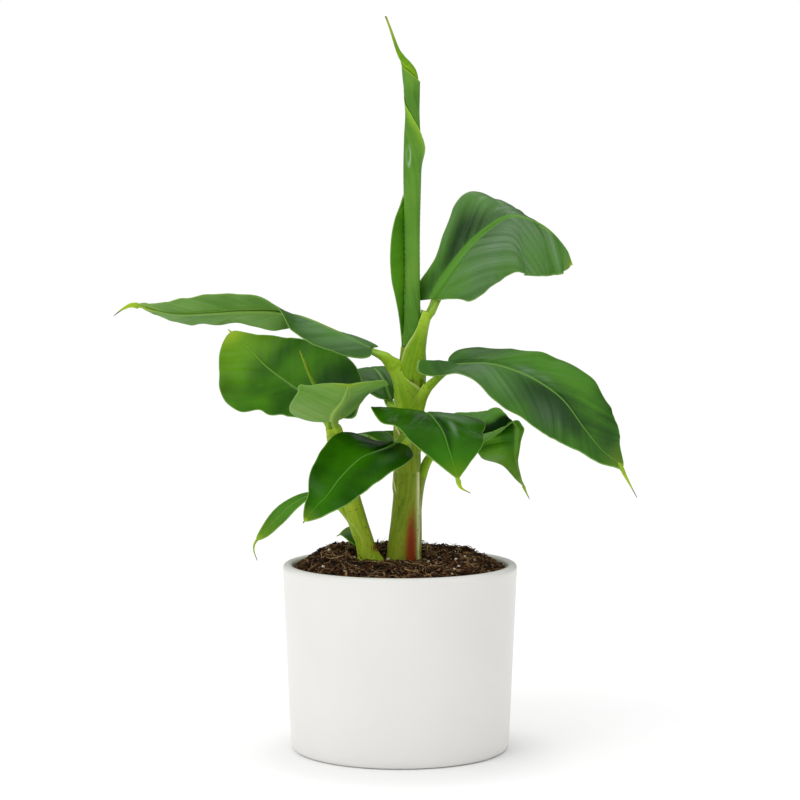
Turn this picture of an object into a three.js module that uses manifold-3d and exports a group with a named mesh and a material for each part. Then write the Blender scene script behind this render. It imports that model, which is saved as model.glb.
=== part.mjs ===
// A young banana plant in a plain round pot. Millimetres, +Z up.
// The origin is the middle of the pot's flat foot; +X is to the right, -Y to the front.
// Every leaf is built by one rule: a midrib through a few knots, and a blade laid on it
// whose two sides have their own reach, fold, curl and sweep along the length.
import * as THREE from 'three';
import { mergeVertices } from 'three/addons/utils/BufferGeometryUtils.js';
import Module from 'manifold-3d';

const wasm = await Module();
wasm.setup();

const GAP = 0.3;               // clearance between touching pieces
const LIMB_SIDES = 8;          // facets round a petiole; a stem has four more
const BLADE_ROWS = 13;         // cross rows along a leaf blade
const HALF_COLUMNS = 4;        // columns from the midrib to each margin

// The pot: a straight, slightly flaring cylinder with a softly rounded rim and foot.
const POT = { foot: 84, belly: 88.5, rim: 95, height: 151, wall: 7.8, floor: 10, round: 8, facets: 48 };

// The potting mix: a low dome, deeper at the wall than in the middle.
const MIX = {
  edge: 147, slope: 151, shoulder: 153, crown: 154,
  slopeRadius: 74, shoulderRadius: 62, crownRadius: 22, facets: 32,
};

// Stems, from the root flare up: [height, x, y, radius].
const MAIN_STEM = [
  [147.3, 3, 0, 14.8], [154, 3, 0, 14.2], [165, 3.4, 0, 13.2], [190, 4.6, 0, 11.7],
  [206, 5.2, 0, 10.7], [250, 6, 0, 10.2], [275, 7.2, 0, 11.4], [292, 8.4, 0, 12.2],
  [310, 9.8, 0, 11], [326, 10.4, 0, 9.6],
];
const SUCKER_STEM = [
  [147.3, -23, -4, 9.6], [155, -25.5, -4, 8.6], [168, -28.5, -4, 7.6], [200, -38.5, -4, 7.8],
  [235, -48, -4, 7], [260, -54.5, -4, 5.4],
];
const STEM_RING_STEP = 12;     // height between rings of a stem

// The newest leaf, still rolled: a rod out of the sheath, a pinched hood and a thread tip.
const SPEAR = [
  [326.3, 10.2, 0, 8.8], [345, 9.8, 0, 7.4], [380, 9.9, 0, 6.4], [420, 9.6, 0, 6.5],
  [465, 9.6, 0, 7.3], [495, 9.9, 0, 6.9], [512, 10.1, 0, 6], [527, 9.7, 0, 6.4], [540, 8.6, 0, 7.2],
  [547, 7.2, 0, 6.4], [553, 4.6, 0, 4.7], [558, 1.4, 0, 3], [564, -2, 0, 1.8], [574, -5.6, 0, 1.2],
  [582, -8.4, 0, 1], [590, -11.5, 0, 0.8],
];
const SPEAR_RING_STEP = 14;
// The loose outer margin of the rolled leaf: a narrow strip standing off its left side.
const SPEAR_FLAP = { from: 338, to: 446, reach: 11, thick: 1.6, rows: 9 };
// The sucker's own rolled leaf.
const SUCKER_SPEAR = [
  [260.3, -55.6, -1.5, 2.4], [275, -59.5, 0.5, 2.4], [290, -66.5, 3, 2.2], [306, -74, 5, 1.8],
  [323, -81, 7, 0.9],
];

// Leaves. rib: midrib knots [x, y, z, roll in degrees]; petiole and tail: lengths at the two ends
// without blade; width: across the widest place; base and tip: fullness of the two ends;
// left and right (seen from above, looking to the tip): [share of the blade, reach, fold, curl, sweep].
const LEAVES = {
  upper_right: {
    stem: 'main', petiole: 46, tail: 2, width: 90, base: 0.35, tip: 0.5, foot: 7.5, neck: 5.4,
    rib: [
      [12, 2, 322, 0], [19, -1, 348, 15], [26, -1, 366, 30], [40, 3, 388, 45], [56, 8, 408, 50],
      [73, 14, 423, 52], [87, 19, 431, 52], [100, 24, 431, 52], [121, 30, 421, 46],
      [136, 34, 404.5, 35], [141, 35, 391, 30],
    ],
    left: [
      [0, 0.7, 20, -10, -0.8], [0.15, 0.39, 20, -10, -0.15], [0.3, 0.55, 18, -10, 0.05],
      [0.42, 0.73, 13, -10, -0.04], [0.5, 0.78, 4, -10, -0.06], [0.56, 0.73, -6, -18, -0.04],
      [0.64, 0.84, -32, -20, 0], [0.85, 0.8, -45, -15, 0.3], [1, 0.8, -15, -5, 0.4],
    ],
    right: [
      [0, 0.5, 10, -10, -0.2], [0.1, 0.6, 0, -10, -0.4], [0.2, 0.76, -5, -5, -0.6],
      [0.35, 0.85, -10, 0, -0.5], [0.5, 0.95, -20, 0, -0.35], [0.6, 1.15, -30, 0, 0.1],
      [0.7, 1.06, -38, 0, 0.5], [0.8, 0.88, -45, 0, 0.8], [1, 0.7, -20, 0, 0.9],
    ],
  },
  long_left: {
    stem: 'main', petiole: 30, tail: 24, width: 66, base: 0.4, tip: 0.5, foot: 8.5, neck: 4,
    rib: [
      [-2, -2, 308, -10], [-14, -8, 321, -25], [-24, -10, 327, -35], [-52, -12, 340, -42],
      [-80, -14, 352, -34], [-97, -15, 356, 10], [-125, -15, 356, 24], [-155, -13, 354, 25],
      [-176, -10, 353, 25], [-192, -8, 355, 20], [-214, -5, 360, 10], [-222, -4, 357, 0],
      [-230, -2, 351, 0],
    ],
    left: [
      [0, 0.9, 0, -10, -0.6], [0.2, 0.85, 0, -5, 0], [0.42, 0.68, 5, 0, 0.2], [0.55, 0.82, 9, 0, 0.3],
      [0.8, 0.86, 4, 0, 0.4], [1, 0.7, 0, 0, 0.5],
    ],
    right: [
      [0, 1.1, -15, -10, -0.9], [0.1, 1, -35, -10, -0.1], [0.28, 1, -50, -5, 0.1],
      [0.34, 0.98, -44, -4, -0.1], [0.4, 0.74, -36, 0, -0.12], [0.45, 0.74, -25, 0, -0.1],
      [0.51, 0.8, -12, 0, 0.05], [0.58, 0.91, 2, 0, 0.25], [1, 1.02, 5, 0, 0.5],
    ],
  },
  broad_right: {
    stem: 'main', petiole: 52, tail: 26, width: 80, base: 0.4, tip: 0.5, foot: 7, neck: 4.2,
    rib: [
      [12.5, -3, 271, 0], [21, -8, 293, 10], [37, -13, 311, 15], [53, -16, 314, 20],
      [72, -20, 314, 25], [88, -24, 310, 35], [107, -28, 302, 40], [129, -31, 286, 44],
      [147, -33, 262, 46], [161, -34, 245, 46], [173.5, -35, 235, 40], [179, -36, 225, 20],
      [188, -38, 208, 0],
    ],
    left: [
      [0, 0.8, 20, -20, -0.3], [0.1, 0.86, 15, -18, -0.2], [0.3, 0.67, 8, -15, 0.15],
      [0.43, 0.9, 3, -12, 0.15], [0.6, 1.02, 0, -10, 0.27], [0.75, 1.08, 0, -10, 0.2],
      [0.87, 0.98, 0, -10, 0.15], [1, 0.4, 0, -10, 0.2],
    ],
    right: [
      [0, 1, 50, 0, -1.5], [0.03, 1, 42, -5, -1.5], [0.05, 0.98, 14, -10, -1.48],
      [0.075, 0.84, 2, -12, -1.2], [0.12, 0.67, 5, -12, -0.6], [0.2, 0.84, -2, -15, -0.1],
      [0.3, 0.94, -5, -14, 0.05], [0.42, 0.97, -5, -12, 0.25], [0.55, 0.89, -5, -10, 0.4],
      [0.8, 0.5, -5, 0, 0.5], [1, 0.35, 0, -10, 0.5],
    ],
  },
  sucker_broad: {
    stem: 'sucker', petiole: 24, tail: 4, width: 94, base: 0.35, tip: 0.42, foot: 5, neck: 3.4,
    rib: [
      [-53, 6, 253, -10], [-59, 10, 266, -30], [-72, 22, 282, -50], [-90, 40, 293, -58],
      [-111, 58, 307, -60], [-126, 69, 321, -60], [-144, 79, 337, -60],
    ],
    left: [
      [0, 0.7, 10, -5, 0], [0.1, 0.62, 5, -3, 0], [0.25, 0.58, 0, 0, 0], [0.35, 0.67, 0, 0, 0],
      [0.45, 0.7, 0, 0, 0], [0.55, 0.92, 0, 0, 0], [0.65, 1, 0, 0, 0.06], [0.8, 0.86, 0, 0, 0.12],
      [0.9, 0.68, 0, 0, 0.28], [0.95, 0.47, 0, 0, 0.45], [1, 0.3, 0, 0, 0.5],
    ],
    right: [
      [0, 0.9, 10, -5, -1.5], [0.06, 0.84, 10, -5, -1.1], [0.15, 1.05, 8, -3, -0.6],
      [0.3, 0.98, 3, 0, -0.26], [0.4, 0.88, 0, 0, -0.1], [0.5, 0.8, 0, 0, 0], [0.6, 0.73, 0, 0, 0],
      [0.75, 0.58, 0, 0, 0], [0.85, 0.39, 2, 0, 0], [1, 0.22, 5, 0, 0.1],
    ],
  },
  sucker_cupped: {
    stem: 'sucker', petiole: 12, tail: 2, width: 80, base: 0.35, tip: 0.5, foot: 4.4, neck: 3,
    rib: [
      [-50, -8, 259, 0], [-52, -18, 268, 0], [-50, -30, 276, 0], [-44, -44, 285, 0],
      [-41, -58, 293, 0], [-39, -72, 301, 0],
    ],
    left: [
      [0, 0.6, 30, 0, -0.1], [0.4, 0.78, 15, 0, 0.4], [1, 1, 0, 0, 0.5],
    ],
    right: [
      [0, 1.05, 5, 0, -0.3], [0.4, 1.05, 8, 0, 0.3], [1, 1, 0, 0, 0.3],
    ],
  },
  front_left: {
    stem: 'main', petiole: 26, tail: 2, width: 70, base: 0.35, tip: 0.7, foot: 5, neck: 3,
    rib: [
      [6, -9, 250, 0], [2, -21, 255, -5], [-5, -33, 251, -10], [-10, -42, 249, -18],
      [-30, -57, 242, -28], [-46, -70, 228, -30], [-57, -80, 214, -30], [-66, -85, 205, -30],
      [-75, -90.5, 194, -30],
    ],
    left: [
      [0, 0.7, -5, -20, -0.5], [0.25, 0.78, -4, -10, 0], [0.6, 0.74, 0, 0, 0.3], [1, 0.7, 0, 0, 0.3],
    ],
    right: [
      [0, 0.7, 0, -10, 0.15], [0.22, 0.95, 5, 0, 0.1], [0.45, 0.88, 0, 0, 0], [0.7, 0.77, 0, 0, 0.1],
      [1, 0.55, 0, 0, 0.2],
    ],
  },
  front_right: {
    stem: 'main', petiole: 24, tail: 14, width: 88, base: 0.3, tip: 1.2, foot: 6, neck: 3.4,
    rib: [
      [10, -9, 258, 0], [14, -20, 270, -3], [21, -34, 276, -4], [27, -48, 272, -4], [34, -62, 262, -3],
      [38, -72, 250, 0], [42, -80, 237, 0], [44.5, -85, 228.5, 0], [47, -88, 221.5, 0],
      [54.5, -88, 217, 0],
    ],
    left: [
      [0, 0.9, 5, -15, -0.5], [0.25, 1.08, 0, -15, 0], [0.5, 1.12, 0, -10, 0], [0.7, 1.22, 0, -5, 0.1],
      [1, 1.1, 0, 0, 0.3],
    ],
    right: [
      [0, 0.8, 5, -10, -0.5], [0.1, 1.04, 8, -10, -0.25], [0.2, 1.04, 0, -10, 0], [0.4, 1, 0, -10, 0],
      [1, 1, 0, 0, 0.3],
    ],
  },
  right_gutter: {
    stem: 'main', petiole: 56, tail: 12, width: 62, base: 0.4, tip: 0.8, foot: 5, neck: 3.6,
    rib: [
      [14, 4, 209, 0], [21, 8, 231, 0], [29, 12, 241, 0], [45, 18, 245, 0], [68, 24, 249, 0],
      [83, 27, 257, 0], [90.5, 29, 263.5, 0], [95, 31, 260.5, 0], [95.5, 34, 248, 0],
      [95.5, 37, 234, 0], [99, 40, 219, 0], [102.5, 42, 208, 0], [107, 43, 198, 0],
    ],
    left: [
      [0, 1.3, 48, 0, -0.4], [0.18, 1.25, 40, 0, -0.1], [0.36, 1.08, 24, 0, 0.1],
      [0.5, 1.12, 12, 0, 0.1], [0.6, 1.35, 2, 0, 0.15], [0.7, 1.3, 0, 0, 0.25], [0.8, 1, 0, 0, 0.3],
      [1, 1, 0, 0, 0.4],
    ],
    right: [
      [0, 0.9, 12, 8, -0.2], [0.3, 0.85, 12, 8, 0], [0.5, 0.3, 0, 0, 0.2], [0.7, 0.15, -30, 0, 0.3],
      [1, 0.3, -30, 0, 0.4],
    ],
  },
  low_left: {
    stem: 'sucker', petiole: 36, tail: 18, width: 15, base: 0.5, tip: 0.6, foot: 3.4, neck: 2.2,
    rib: [
      [-39, -4, 185, 0], [-50, -2, 198, 0], [-61, 0, 207, -10], [-73, 2, 206, -30], [-88, 2, 198, -45],
      [-100, 0, 187, -50], [-109.5, -2, 176, -45], [-117, -5, 168, -20], [-118, -7, 162, 0],
      [-115, -10, 154, 0],
    ],
    left: [
      [0, 0.7, 5, -10, -0.1], [0.5, 1, 0, -10, 0.2], [1, 1, 0, 0, 0.4],
    ],
    right: [
      [0, 0.7, 5, -10, -0.1], [0.5, 1, 0, -10, 0.2], [1, 1, 0, 0, 0.4],
    ],
  },
  back_left: {
    stem: 'main', petiole: 18, tail: 8, width: 58, base: 0.4, tip: 0.6, foot: 6.4, neck: 4.4,
    rib: [
      [-1, 8, 268, 0], [-8, 15, 285, 0], [-14, 28, 299, 0], [-22, 46, 307, 0], [-31, 64, 304, 0],
      [-40, 81, 293, 0], [-47, 92, 280, 0], [-51, 98, 268, 0],
    ],
    left: [
      [0, 0.9, 12, -10, -0.3], [0.4, 1, -6, -15, 0.1], [1, 0.9, -12, 0, 0.3],
    ],
    right: [
      [0, 0.9, 12, -10, -0.3], [0.5, 1, 0, -10, 0.2], [1, 1, 0, 0, 0.3],
    ],
  },
  back_low: {
    stem: 'main', petiole: 22, tail: 6, width: 42, base: 0.4, tip: 0.65, foot: 5, neck: 3,
    rib: [
      [2, 8, 228, 0], [-2, 17, 245, 0], [-9, 31, 254, 0], [-16, 45, 254, 0], [-23, 57, 250, 0],
      [-30, 66, 242, 0], [-34, 71, 233, 0],
    ],
    left: [
      [0, 1, 10, -10, -0.3], [0.5, 1, 0, -10, 0.2], [1, 1, 0, 0, 0.3],
    ],
    right: [
      [0, 1, 10, -10, -0.3], [0.5, 1, 0, -10, 0.2], [1, 1, 0, 0, 0.3],
    ],
  },
  sucker_low_back: {
    stem: 'sucker', petiole: 12, tail: 3, width: 22, base: 0.4, tip: 0.6, foot: 3, neck: 2,
    rib: [
      [-27, 2, 155, 0], [-30, 10, 163, 0], [-36, 18, 171, -10], [-44.5, 24, 174, -20],
      [-52, 28, 169, -20],
    ],
    left: [
      [0, 1, 10, -10, -0.2], [0.5, 1, 0, 0, 0.2], [1, 1, 0, 0, 0.3],
    ],
    right: [
      [0, 1, 10, -10, -0.2], [0.5, 1, 0, 0, 0.2], [1, 1, 0, 0, 0.3],
    ],
  },
};

// Names, colours and finishes.
const FINISH = {
  pot: { color: 0xe9e9e6, roughness: 0.38 },
  potting_mix: { color: 0x3b261b, roughness: 0.95 },
  stem: { color: 0x8fae3c, roughness: 0.5 },
  petiole: { color: 0x86a83a, roughness: 0.5 },
  blade: { color: 0x2f6b2a, roughness: 0.42 },
};

const model = new THREE.Group();

function add(name, geometry, finish) {
  const { color, roughness } = FINISH[finish];
  const material = new THREE.MeshStandardMaterial({ color, roughness, metalness: 0 });
  const mesh = new THREE.Mesh(geometry, material);
  mesh.name = name;
  model.add(mesh);
  return mesh;
}

// ---------------------------------------------------------------- smooth values between rows

// The value of one column of a table of rows, smooth through every row; column 0 is the place.
function between(rows, place, column) {
  const last = rows.length - 1;
  const x = Math.min(Math.max(place, rows[0][0]), rows[last][0]);
  let i = 0;
  while (i < last - 1 && x >= rows[i + 1][0]) i += 1;
  const slope = (k) => {
    const a = rows[Math.max(k - 1, 0)];
    const b = rows[Math.min(k + 1, last)];
    return (b[column] - a[column]) / (b[0] - a[0]);
  };
  const span = rows[i + 1][0] - rows[i][0];
  const t = (x - rows[i][0]) / span;
  const u = 1 - t;
  return (1 + 2 * t) * u * u * rows[i][column] + t * u * u * span * slope(i)
    + t * t * (3 - 2 * t) * rows[i + 1][column] - t * t * u * span * slope(i + 1);
}

// ---------------------------------------------------------------- solids

// A closed skin through rings of equally many points, capped at both ends; each four-sided
// cell is split along its shorter diagonal.
function loft(rings) {
  const size = rings[0].length;
  const points = rings.flat();
  const index = [];
  for (let r = 0; r < rings.length - 1; r += 1) {
    for (let k = 0; k < size; k += 1) {
      const a = r * size + k;
      const b = r * size + ((k + 1) % size);
      if (points[a].distanceTo(points[b + size]) < points[b].distanceTo(points[a + size]) + 1e-6) {
        index.push(a, b, b + size, a, b + size, a + size);
      } else {
        index.push(a, b, a + size, b, b + size, a + size);
      }
    }
  }
  [rings[0], rings[rings.length - 1]].forEach((ring, end) => {
    const middle = ring.reduce((sum, p) => sum.add(p), new THREE.Vector3()).divideScalar(size);
    const centre = points.push(middle) - 1;
    const first = end === 0 ? 0 : (rings.length - 1) * size;
    for (let k = 0; k < size; k += 1) {
      const a = first + k;
      const b = first + ((k + 1) % size);
      if (end === 0) index.push(centre, b, a);
      else index.push(centre, a, b);
    }
  });
  return solidOf(points.flatMap((p) => [p.x, p.y, p.z]), index);
}

function solidOf(positions, index) {
  const solid = new wasm.Manifold(new wasm.Mesh({
    numProp: 3,
    vertProperties: new Float32Array(positions),
    triVerts: new Uint32Array(index),
  }));
  if (solid.volume() < 0) {
    const turned = [];
    for (let i = 0; i < index.length; i += 3) turned.push(index[i], index[i + 2], index[i + 1]);
    return solidOf(positions, turned);
  }
  return solid;
}

// A profile [radius, height] turned about the upright axis.
function turned(profile, facets) {
  const lathe = new THREE.LatheGeometry(profile.map(([r, z]) => new THREE.Vector2(r, z)), facets);
  lathe.rotateX(Math.PI / 2);
  lathe.deleteAttribute('normal');
  lathe.deleteAttribute('uv');
  const merged = mergeVertices(lathe, 1e-4);
  const source = Array.from(merged.index.array);
  const index = [];
  for (let i = 0; i < source.length; i += 3) {
    const [a, b, c] = source.slice(i, i + 3);
    if (a !== b && b !== c && c !== a) index.push(a, b, c);
  }
  return solidOf(Array.from(merged.attributes.position.array), index);
}

function geometryOf(solid) {
  const mesh = solid.getMesh();
  const geometry = new THREE.BufferGeometry();
  geometry.setAttribute('position', new THREE.BufferAttribute(mesh.vertProperties, 3));
  geometry.setIndex(new THREE.BufferAttribute(mesh.triVerts, 1));
  geometry.computeVertexNormals();
  return geometry;
}

// The largest body of a solid, so that a cut leaves no loose crumbs.
function mainBody(solid) {
  const bodies = solid.decompose();
  return bodies.reduce((best, body) => (body.volume() > best.volume() ? body : best));
}

// ---------------------------------------------------------------- stems

// A round limb through rows [height, x, y, radius], its rings level.
function stemSolid(rows, step, grow = 0) {
  const low = rows[0][0];
  const high = rows[rows.length - 1][0];
  const count = Math.ceil((high - low) / step);
  const rings = [];
  for (let i = 0; i <= count; i += 1) {
    const end = i === 0 ? -grow : i === count ? grow : 0;
    const z = low + (high - low) * i / count;
    const radius = between(rows, z, 3) + grow;
    const ring = [];
    for (let k = 0; k < LIMB_SIDES + 4; k += 1) {
      const angle = 2 * Math.PI * k / (LIMB_SIDES + 4);
      ring.push(new THREE.Vector3(
        between(rows, z, 1) + radius * Math.cos(angle),
        between(rows, z, 2) + radius * Math.sin(angle),
        z + end,
      ));
    }
    rings.push(ring);
  }
  return loft(rings);
}

// ---------------------------------------------------------------- leaves

// Points and directions along a midrib, evenly spaced: place, point, along, left, up.
function midribOf(leaf) {
  const rows = [];
  let reach = 0;
  leaf.rib.forEach(([x, y, z, roll], i) => {
    if (i > 0) {
      const [px, py, pz] = leaf.rib[i - 1];
      reach += Math.hypot(x - px, y - py, z - pz);
    }
    rows.push([reach, x, y, z, roll]);
  });
  const count = Math.ceil(reach);
  const stations = [];
  for (let i = 0; i <= count; i += 1) {
    const s = reach * i / count;
    const point = new THREE.Vector3(between(rows, s, 1), between(rows, s, 2), between(rows, s, 3));
    stations.push({ point, roll: THREE.MathUtils.degToRad(between(rows, s, 4)), place: 0 });
  }
  stations.forEach((here, i) => {
    const before = stations[Math.max(i - 1, 0)];
    const after = stations[Math.min(i + 1, count)];
    here.along = after.point.clone().sub(before.point).normalize();
    const level = new THREE.Vector3(0, 0, 1).cross(here.along).normalize();
    const over = here.along.clone().cross(level);
    const c = Math.cos(here.roll);
    const s = Math.sin(here.roll);
    here.left = level.clone().multiplyScalar(c).addScaledVector(over, s);
    here.up = over.clone().multiplyScalar(c).addScaledVector(level, -s);
    if (i > 0) here.place = before.place + here.point.distanceTo(before.point);
  });
  return stations;
}

function stationAt(stations, place) {
  const last = stations.length - 1;
  let i = 0;
  while (i < last - 1 && stations[i + 1].place < place) i += 1;
  const a = stations[i];
  const b = stations[i + 1];
  const t = Math.min(Math.max((place - a.place) / (b.place - a.place), 0), 1);
  return {
    point: a.point.clone().lerp(b.point, t),
    along: a.along.clone().lerp(b.along, t).normalize(),
    left: a.left.clone().lerp(b.left, t).normalize(),
    up: a.up.clone().lerp(b.up, t).normalize(),
  };
}

// Half the blade's width at a share of its length: full near the base, drawn in to the tip.
function halfWidth(leaf, share) {
  const widest = leaf.base / (leaf.base + leaf.tip);
  const t = Math.min(Math.max(share, 1e-4), 1 - 1e-4);
  return leaf.width / 2 * (t / widest) ** leaf.base * ((1 - t) / (1 - widest)) ** leaf.tip;
}

// One side of a cross row: points from the midrib to the margin, with the outward-facing up.
function halfRow(here, share, width, rows, side) {
  const reach = width * between(rows, share, 1);
  const fold = THREE.MathUtils.degToRad(between(rows, share, 2));
  const curl = THREE.MathUtils.degToRad(between(rows, share, 3));
  const sweep = between(rows, share, 4);
  const row = [];
  let across = 0;
  let lift = 0;
  for (let j = 1; j <= HALF_COLUMNS; j += 1) {
    const u = j / HALF_COLUMNS;
    const slope = fold + curl * (u - 0.5 / HALF_COLUMNS);
    across += Math.cos(slope) / HALF_COLUMNS;
    lift += Math.sin(slope) / HALF_COLUMNS;
    const point = here.point.clone()
      .addScaledVector(here.left, side * across * reach)
      .addScaledVector(here.up, lift * reach)
      .addScaledVector(here.along, sweep * reach * u ** 1.5);
    const up = here.up.clone().multiplyScalar(Math.cos(slope))
      .addScaledVector(here.left, -side * Math.sin(slope));
    row.push({ point, up, u });
  }
  return row;
}

// A leaf blade with its keel and thread tip, as one closed skin.
function bladeSolid(leaf, stations, grow = 0) {
  const whole = stations[stations.length - 1].place;
  const length = whole - leaf.petiole - leaf.tail;
  const thick = Math.max(1.3, whole / 100) + 2 * grow;
  const cross = (place, share, width, keel) => {
    const here = stationAt(stations, place);
    const left = halfRow(here, share, width, leaf.left, 1);
    const right = halfRow(here, share, width, leaf.right, -1);
    const row = [...right.reverse(), { point: here.point, up: here.up, u: 0 }, ...left];
    const skin = (side) => row.map(({ point, up, u }) => {
      const edge = 1 - 0.35 * u * u;
      const rib = side < 0 ? keel * Math.max(0, 1 - 4 * u) : 0;
      return point.clone().addScaledVector(up, side * (thick / 2 * edge + rib));
    });
    return [...skin(1), ...skin(-1).reverse()];
  };
  const rings = [];
  for (let i = 0; i <= BLADE_ROWS; i += 1) {
    const q = i / BLADE_ROWS;
    const share = 0.5 * q + 0.5 * (0.5 - 0.5 * Math.cos(Math.PI * q));
    const width = Math.max(halfWidth(leaf, share), 1.4);
    rings.push(cross(leaf.petiole + share * length, share, width + grow, leaf.neck * 0.5 * (1 - share)));
  }
  const threads = Math.max(1, Math.round(leaf.tail / 8));
  for (let i = 1; i <= threads; i += 1) {
    const width = 1.4 - 0.7 * i / threads;
    rings.push(cross(leaf.petiole + length + leaf.tail * i / threads, 1, width + grow, 0));
  }
  return loft(rings);
}

// A petiole: a round limb that tapers from its foot in the sheath to its neck at the blade.
function petioleSolid(leaf, stations, grow = 0) {
  const length = leaf.petiole - GAP;
  const count = Math.max(3, Math.round(length / 8));
  const rings = [];
  for (let i = 0; i <= count; i += 1) {
    const t = i / count;
    const here = stationAt(stations, length * t);
    const ease = (1 - t) ** 2;
    const radius = leaf.neck + (leaf.foot - leaf.neck) * ease + grow;
    const shift = i === 0 ? -grow : i === count ? grow : 0;
    const ring = [];
    for (let k = 0; k < LIMB_SIDES; k += 1) {
      const angle = 2 * Math.PI * k / LIMB_SIDES;
      ring.push(here.point.clone()
        .addScaledVector(here.left, radius * Math.cos(angle))
        .addScaledVector(here.up, radius * Math.sin(angle))
        .addScaledVector(here.along, shift));
    }
    rings.push(ring);
  }
  return loft(rings);
}

// ---------------------------------------------------------------- pot and potting mix

const { foot, belly, rim, height, wall, floor, round } = POT;
const innerRim = rim - wall;
const innerFoot = belly - wall;
const pot = turned([
  [0, 0], [foot, 0], [foot + 0.6 * (belly - foot), 0.14 * round], [belly - 0.3, 0.6 * round],
  [belly + 0.3, 1.2 * round], [rim - 0.5, height - 8], [rim, height - 4.5], [rim - 0.6, height - 1.8],
  [rim - 2.2, height - 0.4], [rim - 4, height],
  [innerRim + 1.6, height - 0.4], [innerRim + 0.2, height - 1.8],
  [innerRim, height - 4], [innerFoot, floor + 6], [innerFoot - 5, floor], [0, floor],
], POT.facets);
add('pot', geometryOf(pot), 'pot');

const innerAt = (z) => innerFoot + (innerRim - innerFoot) * (z - floor - 6) / (height - 4 - floor - 6);
const mixBody = turned([
  [0, floor + GAP], [innerFoot - 5.4, floor + GAP], [innerFoot - 0.6, floor + 5.5],
  [innerAt(MIX.edge) - 0.5, MIX.edge], [MIX.slopeRadius, MIX.slope],
  [MIX.shoulderRadius, MIX.shoulder],
  [MIX.crownRadius + 18, MIX.crown], [MIX.crownRadius, MIX.crown - 1], [0, MIX.crown - 1],
], MIX.facets);

// ---------------------------------------------------------------- the plant

const stems = { main: MAIN_STEM, sucker: SUCKER_STEM };
const grown = {
  main: stemSolid(MAIN_STEM, STEM_RING_STEP, GAP),
  sucker: stemSolid(SUCKER_STEM, STEM_RING_STEP, GAP),
};
add('potting_mix', geometryOf(mixBody.subtract(grown.main).subtract(grown.sucker)), 'potting_mix');
add('main_stem', geometryOf(stemSolid(MAIN_STEM, STEM_RING_STEP)), 'stem');
add('sucker_stem', geometryOf(stemSolid(SUCKER_STEM, STEM_RING_STEP).subtract(grown.main)), 'stem');

// Petioles give way to the stems and to the petioles made before them.
const petioleSkins = [];
const bladeList = [];
for (const [name, leaf] of Object.entries(LEAVES)) {
  const stations = midribOf(leaf);
  let petiole = petioleSolid(leaf, stations).subtract(grown.main).subtract(grown.sucker);
  for (const skin of petioleSkins) petiole = petiole.subtract(skin);
  add(`petiole_${name}`, geometryOf(mainBody(petiole)), 'petiole');
  petioleSkins.push(petioleSolid(leaf, stations, GAP));
  bladeList.push([name, leaf, stations]);
}

// The rolled leaves give way to the petioles round them.
const spearSkin = stemSolid(SPEAR, SPEAR_RING_STEP, GAP);
let spear = stemSolid(SPEAR, SPEAR_RING_STEP);
let suckerSpear = stemSolid(SUCKER_SPEAR, SPEAR_RING_STEP).subtract(grown.sucker);
for (const skin of petioleSkins) {
  spear = spear.subtract(skin);
  suckerSpear = suckerSpear.subtract(skin);
}
add('spear_leaf', geometryOf(mainBody(spear)), 'blade');
add('sucker_spear_leaf', geometryOf(mainBody(suckerSpear)), 'blade');

// The loose margin of the rolled leaf stands off the rod's left side.
function flapSolid() {
  const { from, to, reach, thick, rows } = SPEAR_FLAP;
  const rings = [];
  for (let i = 0; i <= rows; i += 1) {
    const t = i / rows;
    const z = from + (to - from) * t;
    const width = Math.max(1, reach * Math.sin(Math.PI * Math.min(1, 0.12 + 0.8 * t)) ** 0.7);
    const start = between(SPEAR, z, 1) - between(SPEAR, z, 3) - GAP - 0.1;
    const front = [];
    const back = [];
    for (let j = 0; j <= 3; j += 1) {
      const u = j / 3;
      const x = start - width * u;
      const y = -1.5 - 2.5 * Math.sin(Math.PI * u);
      front.push(new THREE.Vector3(x, y - thick / 2, z));
      back.push(new THREE.Vector3(x, y + thick / 2, z));
    }
    rings.push([...front, ...back.reverse()]);
  }
  return loft(rings).subtract(spearSkin);
}
add('spear_flap', geometryOf(mainBody(flapSolid())), 'blade');

// Blades lie clear of their own petioles and of everything upright that they pass.
for (const [name, leaf, stations] of bladeList) {
  let blade = bladeSolid(leaf, stations).subtract(spearSkin);
  for (const skin of [grown.main, grown.sucker, ...petioleSkins]) blade = blade.subtract(skin);
  add(`leaf_${name}`, geometryOf(mainBody(blade)), 'blade');
}

export default model;
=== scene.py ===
"""A young banana plant in a plain white pot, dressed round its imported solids.

Blender works in metres, +Z up, -Y to the front. The plant's own tables are in millimetres,
as a grower would measure it, and MM turns them into metres.
"""

import math

import bpy
import numpy as np
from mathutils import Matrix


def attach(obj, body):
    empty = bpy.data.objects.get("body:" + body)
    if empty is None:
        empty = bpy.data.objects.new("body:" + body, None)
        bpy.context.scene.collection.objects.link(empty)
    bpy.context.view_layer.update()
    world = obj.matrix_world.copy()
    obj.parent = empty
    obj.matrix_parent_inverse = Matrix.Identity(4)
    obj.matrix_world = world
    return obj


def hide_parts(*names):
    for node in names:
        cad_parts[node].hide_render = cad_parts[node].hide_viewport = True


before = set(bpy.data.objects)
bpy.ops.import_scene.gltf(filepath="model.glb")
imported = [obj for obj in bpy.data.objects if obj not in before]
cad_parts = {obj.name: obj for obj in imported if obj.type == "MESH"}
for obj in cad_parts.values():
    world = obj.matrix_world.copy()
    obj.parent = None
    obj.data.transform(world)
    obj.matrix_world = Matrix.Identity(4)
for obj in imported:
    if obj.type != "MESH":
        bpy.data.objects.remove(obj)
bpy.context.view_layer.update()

MM = 0.001
BLADE_ROWS = 170        # rows of points along a leaf blade
HALF_COLUMNS = 34       # columns of points from the midrib to each margin
BLADE_THICK = 0.55
SHEATH_THICK = 0.7
STALK_STEP = 1.6        # between the rings of a stalk
THREAD_END = 0.3        # radius at the very end of a leaf's thread
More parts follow.
